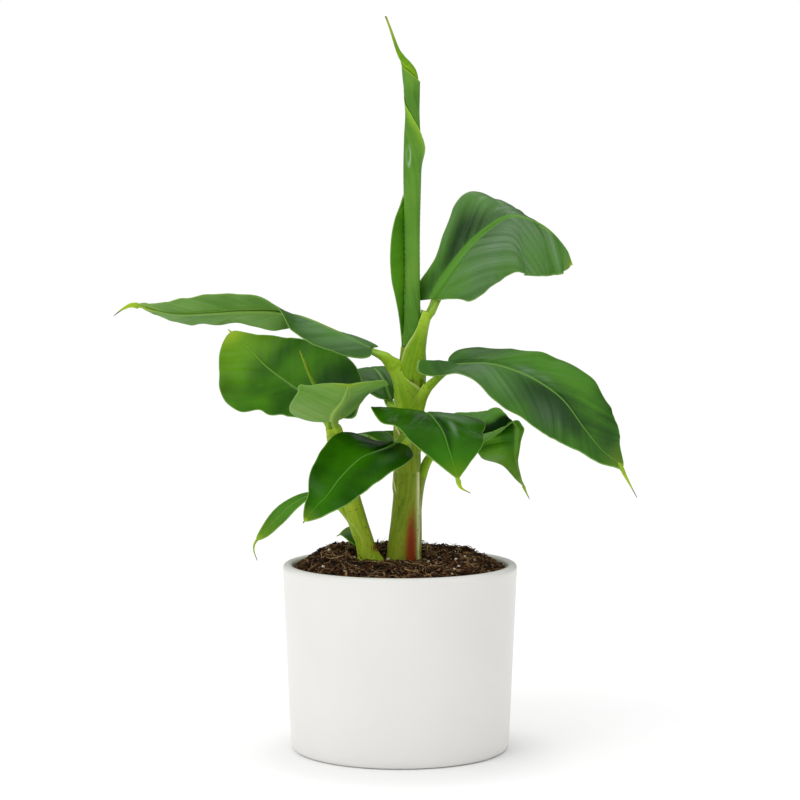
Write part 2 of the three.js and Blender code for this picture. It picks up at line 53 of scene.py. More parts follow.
CHANNEL = 0.35          # depth of the channel over a midrib, as a share of its half width
SHEATH_FLOOR = 150      # no sheath or dry scale starts lower than this

# Stems, from the root flare up: [height, x, y, radius].
MAIN_STEM = [
    [147.3, 3, 0, 14.8], [154, 3, 0, 14.2], [165, 3.4, 0, 13.2], [190, 4.6, 0, 11.7],
    [206, 5.2, 0, 10.7], [250, 6, 0, 10.2], [275, 7.2, 0, 11.4], [292, 8.4, 0, 12.2],
    [310, 9.8, 0, 11], [326, 10.4, 0, 9.6],
]
SUCKER_STEM = [
    [147.3, -23, -4, 9.6], [155, -25.5, -4, 8.6], [168, -28.5, -4, 7.6], [200, -38.5, -4, 7.8],
    [235, -48, -4, 7], [260, -54.5, -4, 5.4],
]
# The rolled leaves: [height, x, y, radius].
SPEAR = [
    [326.3, 10.2, 0, 8.8], [345, 9.8, 0, 7.4], [380, 9.9, 0, 6.4], [420, 9.6, 0, 6.5],
    [465, 9.6, 0, 7.3], [495, 9.9, 0, 6.9], [512, 10.1, 0, 6], [527, 9.7, 0, 6.4],
    [540, 8.6, 0, 7.2], [547, 7.2, 0, 6.4], [553, 4.6, 0, 4.7], [558, 1.4, 0, 3], [564, -2, 0, 1.8],
    [574, -5.6, 0, 1.2], [582, -8.4, 0, 1], [590, -11.5, 0, 0.8],
]
SUCKER_SPEAR = [
    [260.3, -55.6, -1.5, 2.4], [275, -59.5, 0.5, 2.4], [290, -66.5, 3, 2.2], [306, -74, 5, 1.8],
    [323, -81, 7, 0.9],
]

# Leaves. rib: midrib knots [x, y, z, roll in degrees]; petiole and tail: lengths at the two
# ends without blade; width: across the widest place; base and tip: fullness of the two ends;
# left and right, looking to the tip: [share of the blade, reach, fold, curl, sweep]. A leaf with
# no right of its own has the left's rows on both sides.
LEAVES = {
    "upper_right": {
        "stem": "main", "petiole": 46, "tail": 2, "width": 90,
        "base": 0.35, "tip": 0.5, "foot": 7.5, "neck": 5.4,
        "rib": [
            [12, 2, 322, 0], [19, -1, 348, 15], [26, -1, 366, 30], [40, 3, 388, 45],
            [56, 8, 408, 50], [73, 14, 423, 52], [87, 19, 431, 52], [100, 24, 431, 52],
            [121, 30, 421, 46], [136, 34, 404.5, 35], [141, 35, 391, 30],
        ],
        "left": [
            [0, 0.7, 20, -10, -0.8], [0.15, 0.39, 20, -10, -0.15], [0.3, 0.55, 18, -10, 0.05],
            [0.42, 0.73, 13, -10, -0.04], [0.5, 0.78, 4, -10, -0.06], [0.56, 0.73, -6, -18, -0.04],
            [0.64, 0.84, -32, -20, 0], [0.85, 0.8, -45, -15, 0.3], [1, 0.8, -15, -5, 0.4],
        ],
        "right": [
            [0, 0.5, 10, -10, -0.2], [0.1, 0.6, 0, -10, -0.4], [0.2, 0.76, -5, -5, -0.6],
            [0.35, 0.85, -10, 0, -0.5], [0.5, 0.95, -20, 0, -0.35], [0.6, 1.15, -30, 0, 0.1],
            [0.7, 1.06, -38, 0, 0.5], [0.8, 0.88, -45, 0, 0.8], [1, 0.7, -20, 0, 0.9],
        ],
    },
    "long_left": {
        "stem": "main", "petiole": 30, "tail": 24, "width": 66,
        "base": 0.4, "tip": 0.5, "foot": 8.5, "neck": 4,
        "rib": [
            [-2, -2, 308, -10], [-14, -8, 321, -25], [-24, -10, 327, -35], [-52, -12, 340, -42],
            [-80, -14, 352, -34], [-97, -15, 356, 10], [-125, -15, 356, 24], [-155, -13, 354, 25],
            [-176, -10, 353, 25], [-192, -8, 355, 20], [-214, -5, 360, 10], [-222, -4, 357, 0],
            [-230, -2, 351, 0],
        ],
        "left": [
            [0, 0.9, 0, -10, -0.6], [0.2, 0.85, 0, -5, 0], [0.42, 0.68, 5, 0, 0.2],
            [0.55, 0.82, 9, 0, 0.3], [0.8, 0.86, 4, 0, 0.4], [1, 0.7, 0, 0, 0.5],
        ],
        "right": [
            [0, 1.1, -15, -10, -0.9], [0.1, 1, -35, -10, -0.1], [0.28, 1, -50, -5, 0.1],
            [0.34, 0.98, -44, -4, -0.1], [0.4, 0.74, -36, 0, -0.12], [0.45, 0.74, -25, 0, -0.1],
            [0.51, 0.8, -12, 0, 0.05], [0.58, 0.91, 2, 0, 0.25], [1, 1.02, 5, 0, 0.5],
        ],
    },
    "broad_right": {
        "stem": "main", "petiole": 52, "tail": 26, "width": 80,
        "base": 0.4, "tip": 0.5, "foot": 7, "neck": 4.2,
        "rib": [
            [12.5, -3, 271, 0], [21, -8, 293, 10], [37, -13, 311, 15], [53, -16, 314, 20],
            [72, -20, 314, 25], [88, -24, 310, 35], [107, -28, 302, 40], [129, -31, 286, 44],
            [147, -33, 262, 46], [161, -34, 245, 46], [173.5, -35, 235, 40], [179, -36, 225, 20],
            [188, -38, 208, 0],
        ],
        "left": [
            [0, 0.8, 20, -20, -0.3], [0.1, 0.86, 15, -18, -0.2], [0.3, 0.67, 8, -15, 0.15],
            [0.43, 0.9, 3, -12, 0.15], [0.6, 1.02, 0, -10, 0.27], [0.75, 1.08, 0, -10, 0.2],
            [0.87, 0.98, 0, -10, 0.15], [1, 0.4, 0, -10, 0.2],
        ],
        "right": [
            [0, 1, 50, 0, -1.5], [0.03, 1, 42, -5, -1.5], [0.05, 0.98, 14, -10, -1.48],
            [0.075, 0.84, 2, -12, -1.2], [0.12, 0.67, 5, -12, -0.6], [0.2, 0.84, -2, -15, -0.1],
            [0.3, 0.94, -5, -14, 0.05], [0.42, 0.97, -5, -12, 0.25], [0.55, 0.89, -5, -10, 0.4],
            [0.8, 0.5, -5, 0, 0.5], [1, 0.35, 0, -10, 0.5],
        ],
    },
    "sucker_broad": {
        "stem": "sucker", "petiole": 24, "tail": 4, "width": 94,
        "base": 0.35, "tip": 0.42, "foot": 5, "neck": 3.4,
        "rib": [
            [-53, 6, 253, -10], [-59, 10, 266, -30], [-72, 22, 282, -50], [-90, 40, 293, -58],
            [-111, 58, 307, -60], [-126, 69, 321, -60], [-144, 79, 337, -60],
        ],
        "left": [
            [0, 0.7, 10, -5, 0], [0.1, 0.62, 5, -3, 0], [0.25, 0.58, 0, 0, 0],
            [0.35, 0.67, 0, 0, 0], [0.45, 0.7, 0, 0, 0], [0.55, 0.92, 0, 0, 0],
            [0.65, 1, 0, 0, 0.06], [0.8, 0.86, 0, 0, 0.12], [0.9, 0.68, 0, 0, 0.28],
            [0.95, 0.47, 0, 0, 0.45], [1, 0.3, 0, 0, 0.5],
        ],
        "right": [
            [0, 0.9, 10, -5, -1.5], [0.06, 0.84, 10, -5, -1.1], [0.15, 1.05, 8, -3, -0.6],
            [0.3, 0.98, 3, 0, -0.26], [0.4, 0.88, 0, 0, -0.1], [0.5, 0.8, 0, 0, 0],
            [0.6, 0.73, 0, 0, 0], [0.75, 0.58, 0, 0, 0], [0.85, 0.39, 2, 0, 0],
            [1, 0.22, 5, 0, 0.1],
        ],
    },
    "sucker_cupped": {
        "stem": "sucker", "petiole": 12, "tail": 2, "width": 80,
        "base": 0.35, "tip": 0.5, "foot": 4.4, "neck": 3,
        "rib": [
            [-50, -8, 259, 0], [-52, -18, 268, 0], [-50, -30, 276, 0], [-44, -44, 285, 0],
            [-41, -58, 293, 0], [-39, -72, 301, 0],
        ],
        "left": [[0, 0.6, 30, 0, -0.1], [0.4, 0.78, 15, 0, 0.4], [1, 1, 0, 0, 0.5]],
        "right": [[0, 1.05, 5, 0, -0.3], [0.4, 1.05, 8, 0, 0.3], [1, 1, 0, 0, 0.3]],
    },
    "front_left": {
        "stem": "main", "petiole": 26, "tail": 2, "width": 70,
        "base": 0.35, "tip": 0.7, "foot": 5, "neck": 3,
        "rib": [
            [6, -9, 250, 0], [2, -21, 255, -5], [-5, -33, 251, -10], [-10, -42, 249, -18],
            [-30, -57, 242, -28], [-46, -70, 228, -30], [-57, -80, 214, -30], [-66, -85, 205, -30],
            [-75, -90.5, 194, -30],
        ],
        "left": [
            [0, 0.7, -5, -20, -0.5], [0.25, 0.78, -4, -10, 0], [0.6, 0.74, 0, 0, 0.3],
            [1, 0.7, 0, 0, 0.3],
        ],
        "right": [
            [0, 0.7, 0, -10, 0.15], [0.22, 0.95, 5, 0, 0.1], [0.45, 0.88, 0, 0, 0],
            [0.7, 0.77, 0, 0, 0.1], [1, 0.55, 0, 0, 0.2],
        ],
    },
    "front_right": {
        "stem": "main", "petiole": 24, "tail": 14, "width": 88,
        "base": 0.3, "tip": 1.2, "foot": 6, "neck": 3.4,
        "rib": [
            [10, -9, 258, 0], [14, -20, 270, -3], [21, -34, 276, -4], [27, -48, 272, -4],
            [34, -62, 262, -3], [38, -72, 250, 0], [42, -80, 237, 0], [44.5, -85, 228.5, 0],
            [47, -88, 221.5, 0], [54.5, -88, 217, 0],
        ],
        "left": [
            [0, 0.9, 5, -15, -0.5], [0.25, 1.08, 0, -15, 0], [0.5, 1.12, 0, -10, 0],
            [0.7, 1.22, 0, -5, 0.1], [1, 1.1, 0, 0, 0.3],
        ],
        "right": [
            [0, 0.8, 5, -10, -0.5], [0.1, 1.04, 8, -10, -0.25], [0.2, 1.04, 0, -10, 0],
            [0.4, 1, 0, -10, 0], [1, 1, 0, 0, 0.3],
        ],
    },
    "right_gutter": {
        "stem": "main", "petiole": 56, "tail": 12, "width": 62,
        "base": 0.4, "tip": 0.8, "foot": 5, "neck": 3.6,
        "rib": [
            [14, 4, 209, 0], [21, 8, 231, 0], [29, 12, 241, 0], [45, 18, 245, 0], [68, 24, 249, 0],
            [83, 27, 257, 0], [90.5, 29, 263.5, 0], [95, 31, 260.5, 0], [95.5, 34, 248, 0],
            [95.5, 37, 234, 0], [99, 40, 219, 0], [102.5, 42, 208, 0], [107, 43, 198, 0],
        ],
        "left": [
            [0, 1.3, 48, 0, -0.4], [0.18, 1.25, 40, 0, -0.1], [0.36, 1.08, 24, 0, 0.1],
            [0.5, 1.12, 12, 0, 0.1], [0.6, 1.35, 2, 0, 0.15], [0.7, 1.3, 0, 0, 0.25],
            [0.8, 1, 0, 0, 0.3], [1, 1, 0, 0, 0.4],
        ],
        "right": [
            [0, 0.9, 12, 8, -0.2], [0.3, 0.85, 12, 8, 0], [0.5, 0.3, 0, 0, 0.2],
            [0.7, 0.15, -30, 0, 0.3], [1, 0.3, -30, 0, 0.4],
        ],
    },
    "low_left": {
        "stem": "sucker", "petiole": 36, "tail": 18, "width": 15,
        "base": 0.5, "tip": 0.6, "foot": 3.4, "neck": 2.2,
        "rib": [
            [-39, -4, 185, 0], [-50, -2, 198, 0], [-61, 0, 207, -10], [-73, 2, 206, -30],
            [-88, 2, 198, -45], [-100, 0, 187, -50], [-109.5, -2, 176, -45], [-117, -5, 168, -20],
            [-118, -7, 162, 0], [-115, -10, 154, 0],
        ],
        "left": [[0, 0.7, 5, -10, -0.1], [0.5, 1, 0, -10, 0.2], [1, 1, 0, 0, 0.4]],
    },
    "back_left": {
        "stem": "main", "petiole": 18, "tail": 8, "width": 58,
        "base": 0.4, "tip": 0.6, "foot": 6.4, "neck": 4.4,
        "rib": [
            [-1, 8, 268, 0], [-8, 15, 285, 0], [-14, 28, 299, 0], [-22, 46, 307, 0],
            [-31, 64, 304, 0], [-40, 81, 293, 0], [-47, 92, 280, 0], [-51, 98, 268, 0],
        ],
        "left": [[0, 0.9, 12, -10, -0.3], [0.4, 1, -6, -15, 0.1], [1, 0.9, -12, 0, 0.3]],
        "right": [[0, 0.9, 12, -10, -0.3], [0.5, 1, 0, -10, 0.2], [1, 1, 0, 0, 0.3]],
    },
    "back_low": {
        "stem": "main", "petiole": 22, "tail": 6, "width": 42,
        "base": 0.4, "tip": 0.65, "foot": 5, "neck": 3,
        "rib": [
            [2, 8, 228, 0], [-2, 17, 245, 0], [-9, 31, 254, 0], [-16, 45, 254, 0],
            [-23, 57, 250, 0], [-30, 66, 242, 0], [-34, 71, 233, 0],
        ],
        "left": [[0, 1, 10, -10, -0.3], [0.5, 1, 0, -10, 0.2], [1, 1, 0, 0, 0.3]],
    },
    "sucker_low_back": {
        "stem": "sucker", "petiole": 12, "tail": 3, "width": 22,
        "base": 0.4, "tip": 0.6, "foot": 3, "neck": 2,
        "rib": [
            [-27, 2, 155, 0], [-30, 10, 163, 0], [-36, 18, 171, -10], [-44.5, 24, 174, -20],
            [-52, 28, 169, -20],
        ],
        "left": [[0, 1, 10, -10, -0.2], [0.5, 1, 0, 0, 0.2], [1, 1, 0, 0, 0.3]],
    },
}

# How each leaf's sheath wraps its stem: how far below the stalk it starts, half angle and skin.
# On the main stem, those further down the table lie a little farther out, up to a limit.
SHEATHS = {
    "upper_right": (64, 150, "sheath"), "long_left": (48, 150, "sheath"),
    "broad_right": (40, 150, "sheath"), "sucker_broad": (26, 130, "young"),
    "sucker_cupped": (24, 130, "young"), "front_left": (30, 140, "stem"),
    "front_right": (30, 130, "stem"), "right_gutter": (78, 52, "stem"),
    "low_left": (30, 80, "young"), "back_left": (30, 120, "stem"), "back_low": (34, 110, "stem"),
    "sucker_low_back": (12, 80, "young"),
}

# How each leaf is finished. waves: their depth between side veins; lean: how far the side veins
# point to the tip; upper and under: the two faces; thread: half the thickness of the tip's
# thread; ripe: how far the yellow of the tip reaches up the blade.
DRESS = {
    "upper_right": (1.35, 1.8, "ribbed", "pale", 0.8, 3),
    "long_left": (0.6, 1.2, "sheen", "pale", 3.2, 7),
    "broad_right": (0.45, 1.3, "sheen", "pale", 1.9, 6),
    "sucker_broad": (0.28, 0.9, "bright", "pale", 1.2, 14),
    "sucker_cupped": (0.3, 0.5, "bright", "soft", 0.9, 4),
    "front_left": (0.12, 0.9, "glossy", "green", 0.9, 4),
    "front_right": (0.25, 0.8, "glossy", "green", 2.2, 6),
    "right_gutter": (0.3, 1.0, "shaded", "green", 1.6, 11),
    "low_left": (0.2, 0.5, "bright", "pale", 1.1, 8),
    "back_left": (0.4, 0.5, "sheen", "pale", 0.9, 6),
    "back_low": (0.3, 0.5, "bright", "pale", 0.9, 6),
    "sucker_low_back": (0.2, 0.5, "bright", "pale", 0.8, 5),
}

# Where a leaf has painted sheen, or is lighter or deeper than the rest: [share of the blade, place
# across it from -1 (right margin) to 1 (left margin), half length, half width, sheen, lightening].
# The sheen is a painted sheen, a greyish haze that stands for reflected light. Lightening, which
# darkens below 0, is partly the leaf's own tone and partly painted light and shade.
PATCHES = {
    "upper_right": [
        (0.45, -0.5, 0.3, 0.5, 1, 0.3), (0.75, -0.5, 0.2, 0.5, 1.2, 0.3),
        (0.12, -0.4, 0.16, 0.5, 0, 1.5), (0.3, 0.35, 0.2, 0.3, 0, -0.9),
        (0.52, 0.7, 0.1, 0.5, 0.4, 1.1), (0.6, 0.5, 0.04, 0.5, 0.8, 0.4),
        (0.3, 1, 0.25, 0.25, 0.4, 1),
    ],
    "long_left": [
        (0.18, -0.1, 0.16, 0.8, 1.3, 0.2), (0.34, -0.8, 0.06, 0.3, 0.3, 0.7),
        (0.48, 0.6, 0.05, 0.3, 0, -1), (0.62, 0.5, 0.05, 0.35, 0, -0.8),
        (0.72, -0.2, 0.07, 0.3, 0, -0.7), (0.85, 0.4, 0.06, 0.5, 0, -0.6),
        (0.55, -0.6, 0.1, 0.35, 0.3, 0.5), (0.78, 0.6, 0.07, 0.3, 0, 0.6),
    ],
    "broad_right": [
        (0.48, 0.65, 0.24, 0.35, 0, 1), (0.55, -0.3, 0.22, 0.35, 0, -1.3),
        (0.22, -0.5, 0.14, 0.4, 0.8, 0.2), (0.85, 0, 0.12, 1, 0, -0.6),
        (0.36, 0.12, 0.05, 0.14, 1, 0), (0.46, 0.14, 0.04, 0.1, 0.8, 0),
        (0.55, -0.6, 0.12, 0.3, 0.4, 0.1),
    ],
    "sucker_broad": [
        (0.85, 0, 0.22, 1, 0, 0.9), (0.35, 0.3, 0.2, 0.6, 0, -0.4),
        (0.12, -0.3, 0.14, 0.8, 0.4, -1.1), (0.6, -0.5, 0.06, 0.2, 0, -0.5),
        (0.7, 0.5, 0.08, 0.2, 0, 0.5), (0.5, 0.75, 0.08, 0.15, 0, 0.5),
        (0.6, 0, 0.12, 0.4, 0, -0.5),
    ],
    "sucker_cupped": [(0.4, 0.6, 0.4, 0.4, 0, -1)],
    # Its first spot is painted shade near the stalk.
    "front_left": [
        (0.08, -0.4, 0.16, 0.6, 0, -2.4), (0.5, 0, 0.3, 0.4, 0, 0.5), (0.85, 0, 0.15, 1, 0, 0.5),
        (0.2, 0.5, 0.1, 0.2, 0.25, 0.2),
    ],
    "front_right": [
        (0.1, -0.5, 0.12, 0.5, 0, 0.4), (0.22, 0.45, 0.05, 0.3, 1.8, 0),
        (0.12, 0.15, 0.05, 0.1, 0.9, 0), (0.42, 0.28, 0.1, 0.06, 1.5, 0),
        (0.3, 0.6, 0.035, 0.16, 0.8, 0), (0.5, 0.06, 0.3, 0.08, 0, -0.8),
        (0.85, 0, 0.15, 1, 0, 0.9),
    ],
    # The gutter leaf's deep spot paints the shade inside its fold; its first spot paints sheen and
    # light on the far wall.
    "right_gutter": [
        (0.25, 0.85, 0.3, 0.35, 1, 1.6), (0.35, 0.15, 0.4, 0.22, 0, -3.4),
        (0.3, -0.6, 0.2, 0.5, 0.5, 0.6), (0.8, 0, 0.25, 1.5, 0, 1.1),
    ],
    "low_left": [(0.5, 0, 0.3, 1, 0.2, 0.7)],
}

# Creases and cups: [along, across, length, width, depth in mm], placed as the patches are.
DENTS = {
    "upper_right": [
        (0.5, 0.9, 0.05, 0.4, 4), (0.57, 0.75, 0.02, 0.3, -2.4), (0.64, 0.8, 0.04, 0.35, 2),
    ],
    "broad_right": [(0.07, 0.8, 0.04, 0.4, 2), (0.18, 0.8, 0.07, 0.4, -2.4)],
}


# ------------------------------------------------------------------ numbers

def unit(vectors):
    """The vectors, each brought to length 1."""
    return vectors / np.linalg.norm(vectors, axis=-1, keepdims=True)


def ease(low, high, value):
    """0 below low, 1 above high, smooth between."""
    t = np.clip((value - low) / (high - low), 0, 1)
    return t * t * (3 - 2 * t)


def bell(value, middle, width):
    """1 at the middle, and almost 0 from two widths away."""
    return np.exp(-(((value - middle) / width) ** 2))


def full_turn(count):
    """Angles once round, evenly spaced."""
    return np.linspace(0, 2 * np.pi, count, endpoint=False)


def read_rows(rows, place):
    """A table's columns after the first, at places in the first, smooth through every row."""
    rows = np.asarray(rows, float)
    last = len(rows) - 1
    shape = np.shape(place)
    place = np.clip(np.ravel(place), rows[0, 0], rows[last, 0])
    i = np.clip(np.searchsorted(rows[:, 0], place, side="right") - 1, 0, last - 1)
    ahead = np.minimum(np.arange(last + 1) + 1, last)
    behind = np.maximum(np.arange(last + 1) - 1, 0)
    slopes = (rows[ahead] - rows[behind]) / (rows[ahead, :1] - rows[behind, :1])
    span = (rows[i + 1, 0] - rows[i, 0])[:, None]
    t = (place - rows[i, 0])[:, None] / span
    u = 1 - t
    values = ((1 + 2 * t) * u**2 * rows[i] + t * u**2 * span * slopes[i]
              + t**2 * (3 - 2 * t) * rows[i + 1] - t**2 * u * span * slopes[i + 1])
    return values.T[1:].reshape((-1,) + shape)


def waves(place, seed, lengths=(4.1, 7.3, 11.9), heights=(0.3, 0.5, 0.35)):
    """Uneven waves along a line, the same each time for one seed."""
    total = 0
    for n, (length, height) in enumerate(zip(lengths, heights)):
        total = total + height * np.sin(2 * np.pi * place / length + 1.7 * seed + 2.1 * n)
    return total


# ------------------------------------------------------------------ meshes

def grid_faces(rows, columns, closed=False, outward=False):
    """Four-sided faces over rows of points, all turned over when closed or outward.

    Closed also joins each row's ends.
    """
    faces = []
    for r in range(rows - 1):
        for c in range(columns if closed else columns - 1):
            a, b = r * columns + c, r * columns + (c + 1) % columns
            face = [a, a + columns, b + columns, b]
            faces.append(face[::-1] if outward or closed else face)
    return faces


def ring_points(x, y, radius, angle, height):
    """Points at a radius and an angle from x, y, at a height."""
    return np.stack(np.broadcast_arrays(
        x + radius * np.cos(angle), y + radius * np.sin(angle), height), axis=-1)


def capped_rings(rings):
    """The rings, all of equally many points, with the faces of a closed skin through them."""
    rows, columns = rings.shape[:2]
    faces = grid_faces(rows, columns, closed=True)
    faces.append(list(range(columns))[::-1])
    faces.append(list(range((rows - 1) * columns, rows * columns)))
    return rings, faces


def make_piece(name, points, faces, materials, marks=None, smooth=True):
    """A mesh from points in millimetres.

    Marks are named values that its materials read: one for all, for each row or column of the
    points, or for every point. A mark that isn't given reads 0.
    """
    points = np.asarray(points)
    mesh = bpy.data.meshes.new(name)
    mesh.from_pydata((points.reshape(-1, 3) * MM).tolist(), [], faces)
    for material in materials:
        mesh.materials.append(material)
    for mark, values in (marks or {}).items():
        layer = mesh.attributes.new(mark, "FLOAT", "POINT")
        values = np.broadcast_to(values, points.shape[:-1]).astype(np.float32)
        layer.data.foreach_set("value", values.ravel())
    mesh.polygons.foreach_set("use_smooth", [smooth] * len(mesh.polygons))
    piece = bpy.data.objects.new(name, mesh)
    bpy.context.collection.objects.link(piece)
    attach(piece, "root")
    return piece


def thicken(piece, thick, inward=False, back=0):
    """Gives a sheet its thickness; back picks the material of the far side."""
    shell = piece.modifiers.new("thickness", "SOLIDIFY")
    shell.thickness = thick * MM
    shell.offset = -1 if inward else 0
    shell.material_offset = back


# ------------------------------------------------------------------ midribs

def midrib(leaf):
    """Places along a leaf's midrib with their points and directions, a millimetre apart."""
    knots = np.array(leaf["rib"], float)
    chords = np.linalg.norm(np.diff(knots[:, :3], axis=0), axis=1)
    reach = np.concatenate([[0], np.cumsum(chords)])
    places = np.linspace(0, reach[-1], math.ceil(reach[-1]) + 1)
    *point, roll = read_rows(np.column_stack([reach, knots]), places)
    point, roll = np.column_stack(point), np.radians(roll)[:, None]
    padded = np.vstack([point[:1], point, point[-1:]])
    along = unit(padded[2:] - padded[:-2])
    level = unit(np.cross([0, 0, 1], along))
    over = np.cross(along, level)
    steps = np.linalg.norm(np.diff(point, axis=0), axis=1)
    return {
        "place": np.concatenate([[0], np.cumsum(steps)]),
        "point": point,
        "along": along,
        "left": level * np.cos(roll) + over * np.sin(roll),
        "up": over * np.cos(roll) - level * np.sin(roll),
    }


def stations(rib, places):
    """Points and unit directions (along, left, up) at places along a midrib."""
    def read(key):
        return np.column_stack([np.interp(places, rib["place"], rib[key][:, k]) for k in range(3)])
    return read("point"), unit(read("along")), unit(read("left")), unit(read("up"))


def blade_length(leaf, rib):
    """How much of the midrib carries blade."""
    return rib["place"][-1] - leaf["petiole"] - leaf["tail"]


def half_width(leaf, share):
    """Half the blade's width at a share of its length: full near the base, drawn in to the tip."""
    widest = leaf["base"] / (leaf["base"] + leaf["tip"])
    t = np.clip(share, 1e-4, 1 - 1e-4)
    return (leaf["width"] / 2 * (t / widest) ** leaf["base"]
            * ((1 - t) / (1 - widest)) ** leaf["tip"])


def rib_half_width(leaf, share):
    """Half the midrib's width at a share of the blade, from the stalk's neck to a fine end."""
    return (leaf["neck"] - 0.5) * np.clip(1 - share, 0, 1) ** 0.85 + 0.5


def limb_radius(leaf, share):
    """A stalk's radius at a share of its length, from its foot's to its neck's."""
    return leaf["neck"] + (leaf["foot"] - leaf["neck"]) * (1 - share) ** 2


# ------------------------------------------------------------------ finishes

class Nodes:
    """Adds nodes to one tree. A number or colour sets a socket, and another socket links to it."""

    def __init__(self, tree):
        self.tree = tree
        self.tree.nodes.clear()

    def add(self, kind, inputs=None, **settings):
        """A node with its settings, and its inputs by name or number."""
        node = self.tree.nodes.new("ShaderNode" + kind)
        for key, value in settings.items():
            setattr(node, key, value)
        self.feed(node, inputs or {})
        return node

    def feed(self, node, inputs):
        """Sets or links some of a node's inputs."""
        for key, value in inputs.items():
            socket = node.inputs[key]
            if isinstance(value, bpy.types.NodeSocket):
                self.tree.links.new(value, socket)
            elif socket.type == "RGBA":
                socket.default_value = (*value[:3], 1)
            else:
                socket.default_value = value

    def math(self, operation, a, b):
        """Two numbers put through a math node."""
        return self.add("Math", {0: a, 1: b}, operation=operation).outputs[0]

    def times(self, a, b, plus=0.0):
        """a times b, plus a third number."""
        return self.add("Math", {0: a, 1: b, 2: plus}, operation="MULTIPLY_ADD").outputs[0]

    def fade(self, value, low, high, at_low=0.0, at_high=1.0):
        """A value eased from at_low to at_high while the input goes from low to high."""
        inputs = {"Value": value, "From Min": low, "From Max": high, "To Min": at_low,
                  "To Max": at_high}
        return self.add("MapRange", inputs, interpolation_type="SMOOTHSTEP").outputs["Result"]

    def mix(self, amount, a, b):
        """Two colours mixed: a where the amount is 0, b where it is 1."""
        return self.add("Mix", {"Factor": amount, 6: a, 7: b}, data_type="RGBA").outputs[2]

    def mark(self, name):
        """A mark of the mesh."""
        return self.add("Attribute", attribute_name=name).outputs["Fac"]

    def place(self):
        """Where a point lies, in metres."""
        return self.add("TexCoord").outputs["Object"]

    def group(self, tree, **inputs):
        """The outputs of a node group, with its inputs set."""
        return self.add("Group", inputs, node_tree=tree).outputs

    def noise(self, scale, detail=2.0, roughness=0.5, vector=None, line=None):
        """Soft noise, -0.5 to 0.5: through space, or along one value when line is given."""
        inputs = {"Scale": scale, "Detail": detail, "Roughness": roughness}
        if line is not None:
            node = self.add("TexNoise", {**inputs, "W": line}, noise_dimensions="1D")
        else:
            node = self.add("TexNoise", {**inputs, "Vector": vector or self.place()})
        return self.math("SUBTRACT", node.outputs["Fac"], 0.5)


def make_group(name, inputs, work):
    """A node group: inputs are {name: start value}, and work gives {output name: socket}."""
    tree = bpy.data.node_groups.new(name, "ShaderNodeTree")
    nodes = Nodes(tree)
    for label, start in inputs.items():
        socket = tree.interface.new_socket(label, in_out="INPUT", socket_type="NodeSocketFloat")
        socket.default_value = start
    outputs = work(nodes, tree.nodes.new("NodeGroupInput").outputs)
    for label in outputs:
        tree.interface.new_socket(label, in_out="OUTPUT", socket_type="NodeSocketFloat")
    nodes.feed(tree.nodes.new("NodeGroupOutput"), outputs)
    return tree


def leaf_veins(n, given):
    """Side veins: hair-fine lines along the vein mark, a colour change and a height."""
    line = n.math("ADD", n.mark("vein"), n.times(n.mark("across"), 0.012))
    fine, broad = n.noise(1.1, 1.0, line=line), n.noise(0.16, 2.0, line=line)
    shade = n.times(fine, 0.35, n.times(broad, 0.65))
    return {"Shade": n.times(shade, given["Strength"]),
            "Height": n.times(n.times(fine, 0.8, broad), given["Strength"])}


def upright_streaks(n, given):
    """Long thin streaks that run up a stem or stalk, with a height to match."""
    along = n.times(n.mark("along"), 0.014)
    spot_at = n.add("CombineXYZ", {"X": n.mark("around"), "Y": along}).outputs[0]
    fine, broad = n.noise(0.9, 2.0, vector=spot_at), n.noise(0.2, 2.0, vector=spot_at)
    return {"Shade": n.times(n.times(fine, 0.7, broad), given["Strength"]),
            "Height": n.times(fine, given["Strength"])}


def mottle(n, given):
    """Slow, cloudy change over a surface, and small dry specks."""
    speck = n.noise(given["Speck_Scale"], 1.0)
    return {"Cloud": n.noise(given["Scale"], 3.0), "Specks": n.fade(speck, 0.16, 0.22)}


def start_material(name):
    """A material with its nodes and its one shader."""
    material = bpy.data.materials.new(name)
    material.use_nodes = True
    nodes = Nodes(material.node_tree)
    shader = nodes.add("BsdfPrincipled")
    nodes.add("OutputMaterial", {"Surface": shader.outputs["BSDF"]})
    return material, nodes, shader


def bump(nodes, shader, height, strength, distance):
    """Relief from a height, with its distance in millimetres."""
    node = nodes.add("Bump", {"Height": height, "Strength": strength, "Distance": distance * MM})
    nodes.feed(shader, {"Normal": node.outputs["Normal"]})


VEINS = make_group("leaf_veins", {"Strength": 1.0}, leaf_veins)
STREAKS = make_group("upright_streaks", {"Strength": 1.0}, upright_streaks)
MOTTLE = make_group("mottle", {"Scale": 40.0, "Speck_Scale": 500.0}, mottle)
MARGIN_COLOUR = (0.22, 0.4, 0.07)
RIPE_COLOUR = (0.3, 0.45, 0.01)
RIB_COLOUR = (0.14, 0.3, 0.05)
# The greyish green of the painted sheen, which stands for reflected light.
SHEEN_COLOUR = (0.15, 0.26, 0.13)
OLIVE = (0.16, 0.15, 0.012)
OLIVE_STREAK = (0.13, 0.13, 0.015)
BLUSH_COLOUR = (0.3, 0.035, 0.003)
GLINT_COLOUR = (0.42, 0.6, 0.36)
DRY_BROWN = (0.12, 0.06, 0.02)
SKIN_GLOSS = 0.16
SOIL_GLOSS = 0.25


